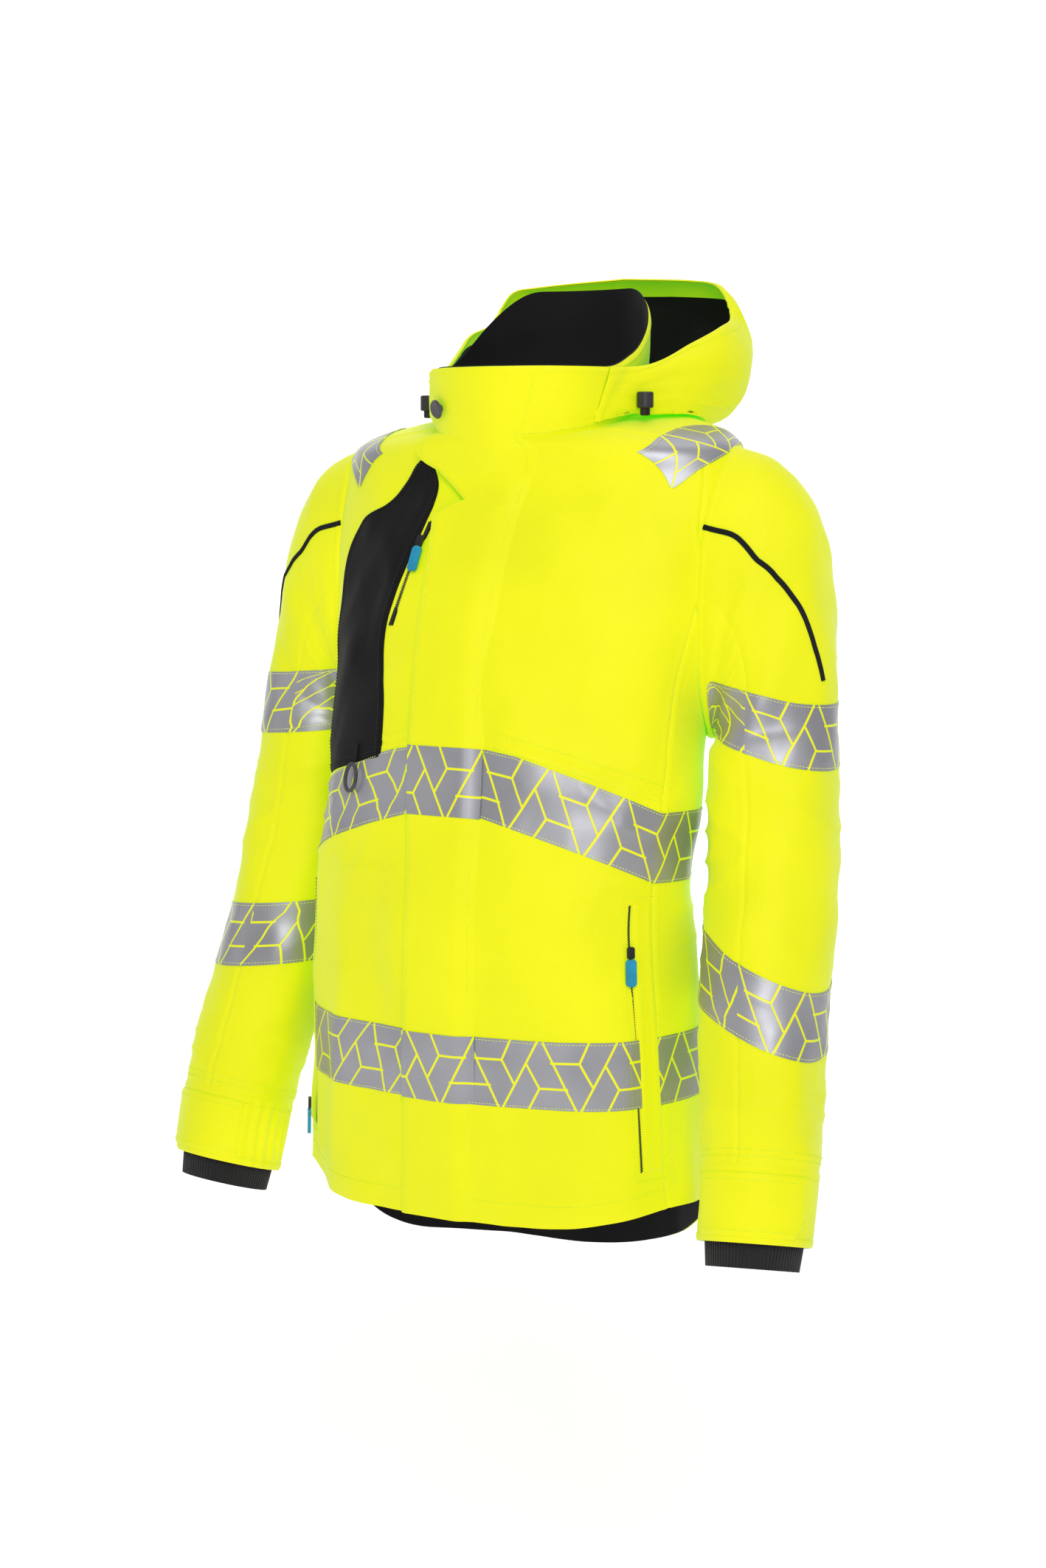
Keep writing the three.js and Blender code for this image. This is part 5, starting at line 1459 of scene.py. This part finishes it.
def make_pockets(settings):
    step = settings.cloth_step

    def overlay(u, v):
        z = 424 + 282 * v
        angle = overlay_inner(z) + (overlay_outer(z) - overlay_inner(z)) * u
        drop = 24 * u * np.maximum(0, 1 - 282 * v / 95)
        return on_body(angle, z - drop)
    u, v = grid(step, 110, step, 282)
    cloth("chest_overlay_cloth", overlay, u, v, [STUFF["overlay"]], "jacket", ["chest_pocket_overlay"],
          thick=1.2, lift=1.9, seams=(1, 1, 1, 1), inner_slot=0)
    lines = [line_on(overlay, np.full(160, 0.05), np.linspace(0.01, 0.97, 160), 2.4),
             line_on(overlay, np.linspace(0.05, 0.97, 90), np.full(90, 0.02), 2.4),
             line_on(overlay, np.full(160, 0.95), np.linspace(0.02, 0.97, 160), 2.4)]
    stitches("chest_overlay_stitches", lines, "jacket", thread="black_thread")
    zip_chain("chest_zip_tape", chest_zip_angle, CHEST_ZIP_TOP - CHEST_ZIP_LENGTH, CHEST_ZIP_TOP, 4.4, 6.0,
              ["chest_zip"], tooth=1.3, sink=-0.4,
              wave=lambda z: -1.2 * np.sin(np.pi * (CHEST_ZIP_TOP - z) / CHEST_ZIP_LENGTH))
    high = POCKET_LOW + POCKET_LENGTH
    for side in (1, -1):
        name = SIDE_NAME[side]
        zip_chain(name + "_pocket_zip_tape", lambda z, side=side: np.full_like(z, POCKET_ANGLE * side),
                  POCKET_LOW + 2, high - 2, 2.4 if side > 0 else 4.6, 6.0, [name + "_pocket_zip"], sink=-0.7,
                  wave=lambda z: -1.1 * np.sin(np.pi * (z - POCKET_LOW) / POCKET_LENGTH),
                  tape="shell" if side > 0 else "piping")

        def welt(u, v, side=side):
            return on_body(side * (POCKET_ANGLE + 1.4 + 9.5 * u), POCKET_LOW + POCKET_LENGTH * v)
        u, v = grid(2.5, 24, step, POCKET_LENGTH)
        cloth(name + "_pocket_welt_cloth", welt, u, v, [STUFF["shell"]], "jacket", [name + "_pocket_welt"],
              thick=1.0, lift=1.5, seams=(1, 1, 1, 1), inner_slot=0)
        outline_angles = (POCKET_ANGLE - 2.6, POCKET_ANGLE + 12.4)
        lines = []
        for a in outline_angles:
            z = np.linspace(POCKET_LOW - 7, high + 7, 150)
            lines.append(line_on(lambda g, h: on_body(g, h), np.full(150, a * side), z, 0.5))
        for z in (POCKET_LOW - 7, high + 7):
            g = np.linspace(outline_angles[0], outline_angles[1], 30) * side
            lines.append(line_on(lambda a, h: on_body(a, h), g, np.full(30, z), 0.5))
        stitches(name + "_pocket_stitches", lines, "jacket")


def make_closure(settings):
    high = NECK - NECK_RISE - 8
    zip_chain("main_zip_tape", lambda z: np.zeros_like(z), 4, high, 5.0, 7.0, ["main_zip"], tooth=1.7)
    low = NECK - NECK_RISE + 2
    zip_chain("collar_zip_tape", lambda z: np.zeros_like(z), low, low + COLLAR_HEIGHT - 6, 5.0, 7.0,
              ["collar_zip"], tooth=1.7)
    for side in (1, -1):
        route = [(199, 640), (216, 637), (233, 631), (250, 610), (268, 594), (282, 574), (295, 541), (303, 500)]
        found = sleeve_route(side, route)
        line = resampled(found, 8)
        p, n = on_sleeve(line[:, 0], line[:, 1], 0.0, SEEDS[side], side)
        p = resampled(p, 3)
        n = resampled(n, 1)[:: max(1, 1)]
        n = np.stack([np.interp(np.linspace(0, 1, len(p)), np.linspace(0, 1, len(n)), n[:, k]) for k in range(3)], 1)
        ribbon(SIDE_NAME[side] + "_sleeve_piping", p, n, 5.0, 1.0, 1.4, STUFF["piping"], "jacket",
               sleeve_blend(side), dome=0.9)


HARD = {
    "snap_cap": "snap", "snap_stud": "metal", "main_slider": "slider", "main_puller": "slider",
    "chest_slider": "slider", "chest_puller": "grip", "left_pocket_slider": "slider", "left_pocket_puller": "grip",
    "right_pocket_slider": "slider", "right_pocket_puller": "grip", "tool_ring": "snap", "ring_tab": "overlay",
    "left_cord_lock": "lock", "right_cord_lock": "lock", "left_cord_lock_plunger": "slider",
    "right_cord_lock_plunger": "slider",
}


def make_fittings(settings):
    for name, finish_name in HARD.items():
        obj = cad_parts[name]
        obj.data.materials.clear()
        obj.data.materials.append(STUFF[finish_name])
    for side in (1, -1):
        name = SIDE_NAME[side]
        low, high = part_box(name + "_cord_lock_plunger")
        centre = (low + high) / 2
        turn = np.linspace(0, 2 * np.pi, 40, endpoint=False)
        path = np.stack([
            np.full(40, centre.x * 1000), centre.y * 1000 + 4.5 * np.cos(turn),
            centre.z * 1000 + NECK + 7 + 7 * np.sin(turn),
        ], 1)
        verts, faces = tube(path, 1.3, closed=True)
        loop = plain_mesh(name + "_cord_loop", verts, faces, STUFF["piping"], smooth_shade=True)
        finish(loop, "jacket", ())


# ------------------------------------------------------------------ stage


def make_stage(settings):
    scene = bpy.context.scene
    verts = [(-9, -9, 0), (9, -9, 0), (9, 9, 0), (-9, 9, 0)]
    mesh = bpy.data.meshes.new("floor")
    mesh.from_pydata([(x, y, settings.floor_height) for x, y, _ in verts], [], [(0, 1, 2, 3)])
    floor_finish, tree, shader = material("pale_matt_floor", "F4F4F4", 0.9)
    shader.inputs["Emission Color"].default_value = (1, 1, 1, 1)
    shader.inputs["Emission Strength"].default_value = settings.floor_light
    mesh.materials.append(floor_finish)
    floor = bpy.data.objects.new("floor", mesh)
    scene.collection.objects.link(floor)
    wall_finish, tree, shader = material("pale_lit_backdrop", "F4F4F4", 0.9)
    shader.inputs["Emission Color"].default_value = (1, 1, 1, 1)
    shader.inputs["Emission Strength"].default_value = settings.backdrop_light
    away = (Vector(settings.camera_aim) - Vector(settings.camera_place)).normalized()
    away.z = 0
    side = Vector((away.y, -away.x, 0))
    centre = away * 3.2
    mesh = bpy.data.meshes.new("backdrop")
    mesh.from_pydata([centre + side * a + Vector((0, 0, b)) for a, b in ((-4, -1.3), (4, -1.3), (4, 4), (-4, 4))],
                     [], [(0, 1, 2, 3)])
    mesh.materials.append(wall_finish)
    backdrop = bpy.data.objects.new("backdrop", mesh)
    scene.collection.objects.link(backdrop)
    world = bpy.data.worlds.new("studio")
    world.use_nodes = True
    world.node_tree.nodes["Background"].inputs[0].default_value = (1, 1, 1, 1)
    world.node_tree.nodes["Background"].inputs[1].default_value = settings.world_light
    scene.world = world
    scene.view_settings.view_transform = "Standard"
    for name, place, size, power in (
        ("key", (1.6, -2.6, 1.5), 1.6, settings.key_light),
        ("fill", (-2.4, -1.8, 0.3), 2.0, settings.fill_light),
        ("top", (0.2, 0.4, 2.2), 1.6, settings.top_light),
    ):
        data = bpy.data.lights.new(name, "AREA")
        data.size = size
        data.energy = power
        light = bpy.data.objects.new(name, data)
        light.location = place
        aim = Vector((0, 0, -0.35)) - Vector(place)
        light.rotation_euler = aim.to_track_quat("-Z", "Y").to_euler()
        scene.collection.objects.link(light)
    data = bpy.data.cameras.new("camera")
    data.lens = settings.lens
    data.sensor_width = 36
    data.sensor_fit = "AUTO"
    data.shift_x = 0.0019
    camera = bpy.data.objects.new("camera", data)
    camera.location = Vector(settings.camera_place)
    aim = Vector(settings.camera_aim) - camera.location
    camera.rotation_euler = aim.to_track_quat("-Z", "Y").to_euler()
    scene.collection.objects.link(camera)
    scene.camera = camera


# ------------------------------------------------------------------ settings, operators and panel


class JacketSettings(bpy.types.PropertyGroup):
    cloth_step: FloatProperty(name="Cloth Step", description="Grid spacing of the cloth, in millimetres",
                              default=3.5, min=1.5, max=20)
    # Painted glow: strength of the constant green emission on the shell cloth and the band's yellow gaps. It stands in
    # for the dye's fluorescence and paints shade greener.
    painted_glow: FloatProperty(name="Fluorescence_Painted_Glow", description="Light that the fluorescent dye gives back",
                        default=0.34, min=0, max=1)
    band_repeat: FloatProperty(name="Band Repeat", description="Length of one repeat of the band's cells",
                               default=0.0737, unit="LENGTH")
    band_width: FloatProperty(name="Band Width", description="Width of the reflective bands", default=0.063,
                              unit="LENGTH")
    band_line: FloatProperty(name="Band Gap", description="Width of the gaps between the band's cells",
                             default=0.0022, unit="LENGTH")


class StageSettings(bpy.types.PropertyGroup):
    floor_height: FloatProperty(name="Floor Height", description="Height of the floor in the part's frame",
                                default=-1.3, unit="LENGTH")
    backdrop_light: FloatProperty(name="Backdrop Light", description="Strength of the lit backdrop", default=0.75)
    floor_light: FloatProperty(name="Floor Light", description="Light given back by the pale floor", default=0.25)
    world_light: FloatProperty(name="World Light", description="Strength of the light from all round", default=0.42)
    key_light: FloatProperty(name="Key Light", description="Power of the main light", default=64.0, unit="POWER")
    fill_light: FloatProperty(name="Fill Light", description="Power of the side light", default=5.0, unit="POWER")
    top_light: FloatProperty(name="Top Light", description="Power of the overhead light", default=12.0, unit="POWER")
    lens: FloatProperty(name="Lens", description="Focal length in millimetres", default=59.27)
    camera_place: FloatVectorProperty(name="Camera Place", description="Where the camera stands",
                                      default=(1.241, -2.149, -0.050), subtype="XYZ")
    camera_aim: FloatVectorProperty(name="Camera Aim", description="Where the camera looks",
                                    default=(0.0, 0.0, -0.350), subtype="XYZ")


def operator(name, label, text, make, group="jacket_settings"):
    """An operator class that makes one group of pieces from the scene's settings."""
    def execute(self, context):
        make(getattr(context.scene, group))
        return {"FINISHED"}
    return type("JACKET_OT_" + name, (bpy.types.Operator,), {
        "bl_idname": "jacket." + name, "bl_label": label, "bl_options": {"REGISTER", "UNDO"},
        "__doc__": text, "execute": execute,
    })


OPERATORS = [
    operator("materials", "Materials", "Makes the cloths, films, threads and plastics", make_materials),
    operator("body", "Body", "Makes the fronts, sides, shoulders, back, yoke and hem facing", make_body),
    operator("collar", "Collar", "Makes the collar, its lining and the hanger loop", make_collar),
    operator("hood", "Hood", "Makes the hood's panels, lining and brim facing", make_hood),
    operator("flap", "Storm Flap", "Makes the storm flap over the main zip", make_flap),
    operator("left_sleeve", "Left Sleeve", "Makes the left sleeve, cuff, knit and tab",
             lambda settings: make_sleeve(settings, 1)),
    operator("right_sleeve", "Right Sleeve", "Makes the right sleeve, cuff, knit and tab",
             lambda settings: make_sleeve(settings, -1)),
    operator("bands", "Reflective Bands", "Makes the reflective bands and their stitching", make_bands),
    operator("pockets", "Pockets", "Makes the chest overlay, the welts and the zips", make_pockets),
    operator("closure", "Closure and Piping", "Makes the main zip and the sleeve piping", make_closure),
    operator("fittings", "Fittings", "Finishes the snap, sliders, grips, ring and cord locks", make_fittings),
    operator("stage", "Stage", "Makes the floor, lights and camera", make_stage, "jacket_stage"),
]


class JACKET_PT_build(bpy.types.Panel):
    """Lists the steps that make the jacket."""
    bl_label = "Work Jacket"
    bl_idname = "JACKET_PT_build"
    bl_space_type = "VIEW_3D"
    bl_region_type = "UI"
    bl_category = "Jacket"

    def draw(self, context):
        for step in OPERATORS:
            self.layout.operator(step.bl_idname)
        for group in (context.scene.jacket_settings, context.scene.jacket_stage):
            for key in group.__annotations__:
                self.layout.prop(group, key)


CLASSES = [JacketSettings, StageSettings] + OPERATORS + [JACKET_PT_build]


def register():
    for item in CLASSES:
        bpy.utils.register_class(item)
    bpy.types.Scene.jacket_settings = PointerProperty(type=JacketSettings)
    bpy.types.Scene.jacket_stage = PointerProperty(type=StageSettings)


def unregister():
    del bpy.types.Scene.jacket_stage
    del bpy.types.Scene.jacket_settings
    for item in reversed(CLASSES):
        bpy.utils.unregister_class(item)


def main():
    register()
    for step in OPERATORS:
        group, name = step.bl_idname.split(".")
        getattr(getattr(bpy.ops, group), name)()


if __name__ == "__main__":
    main()
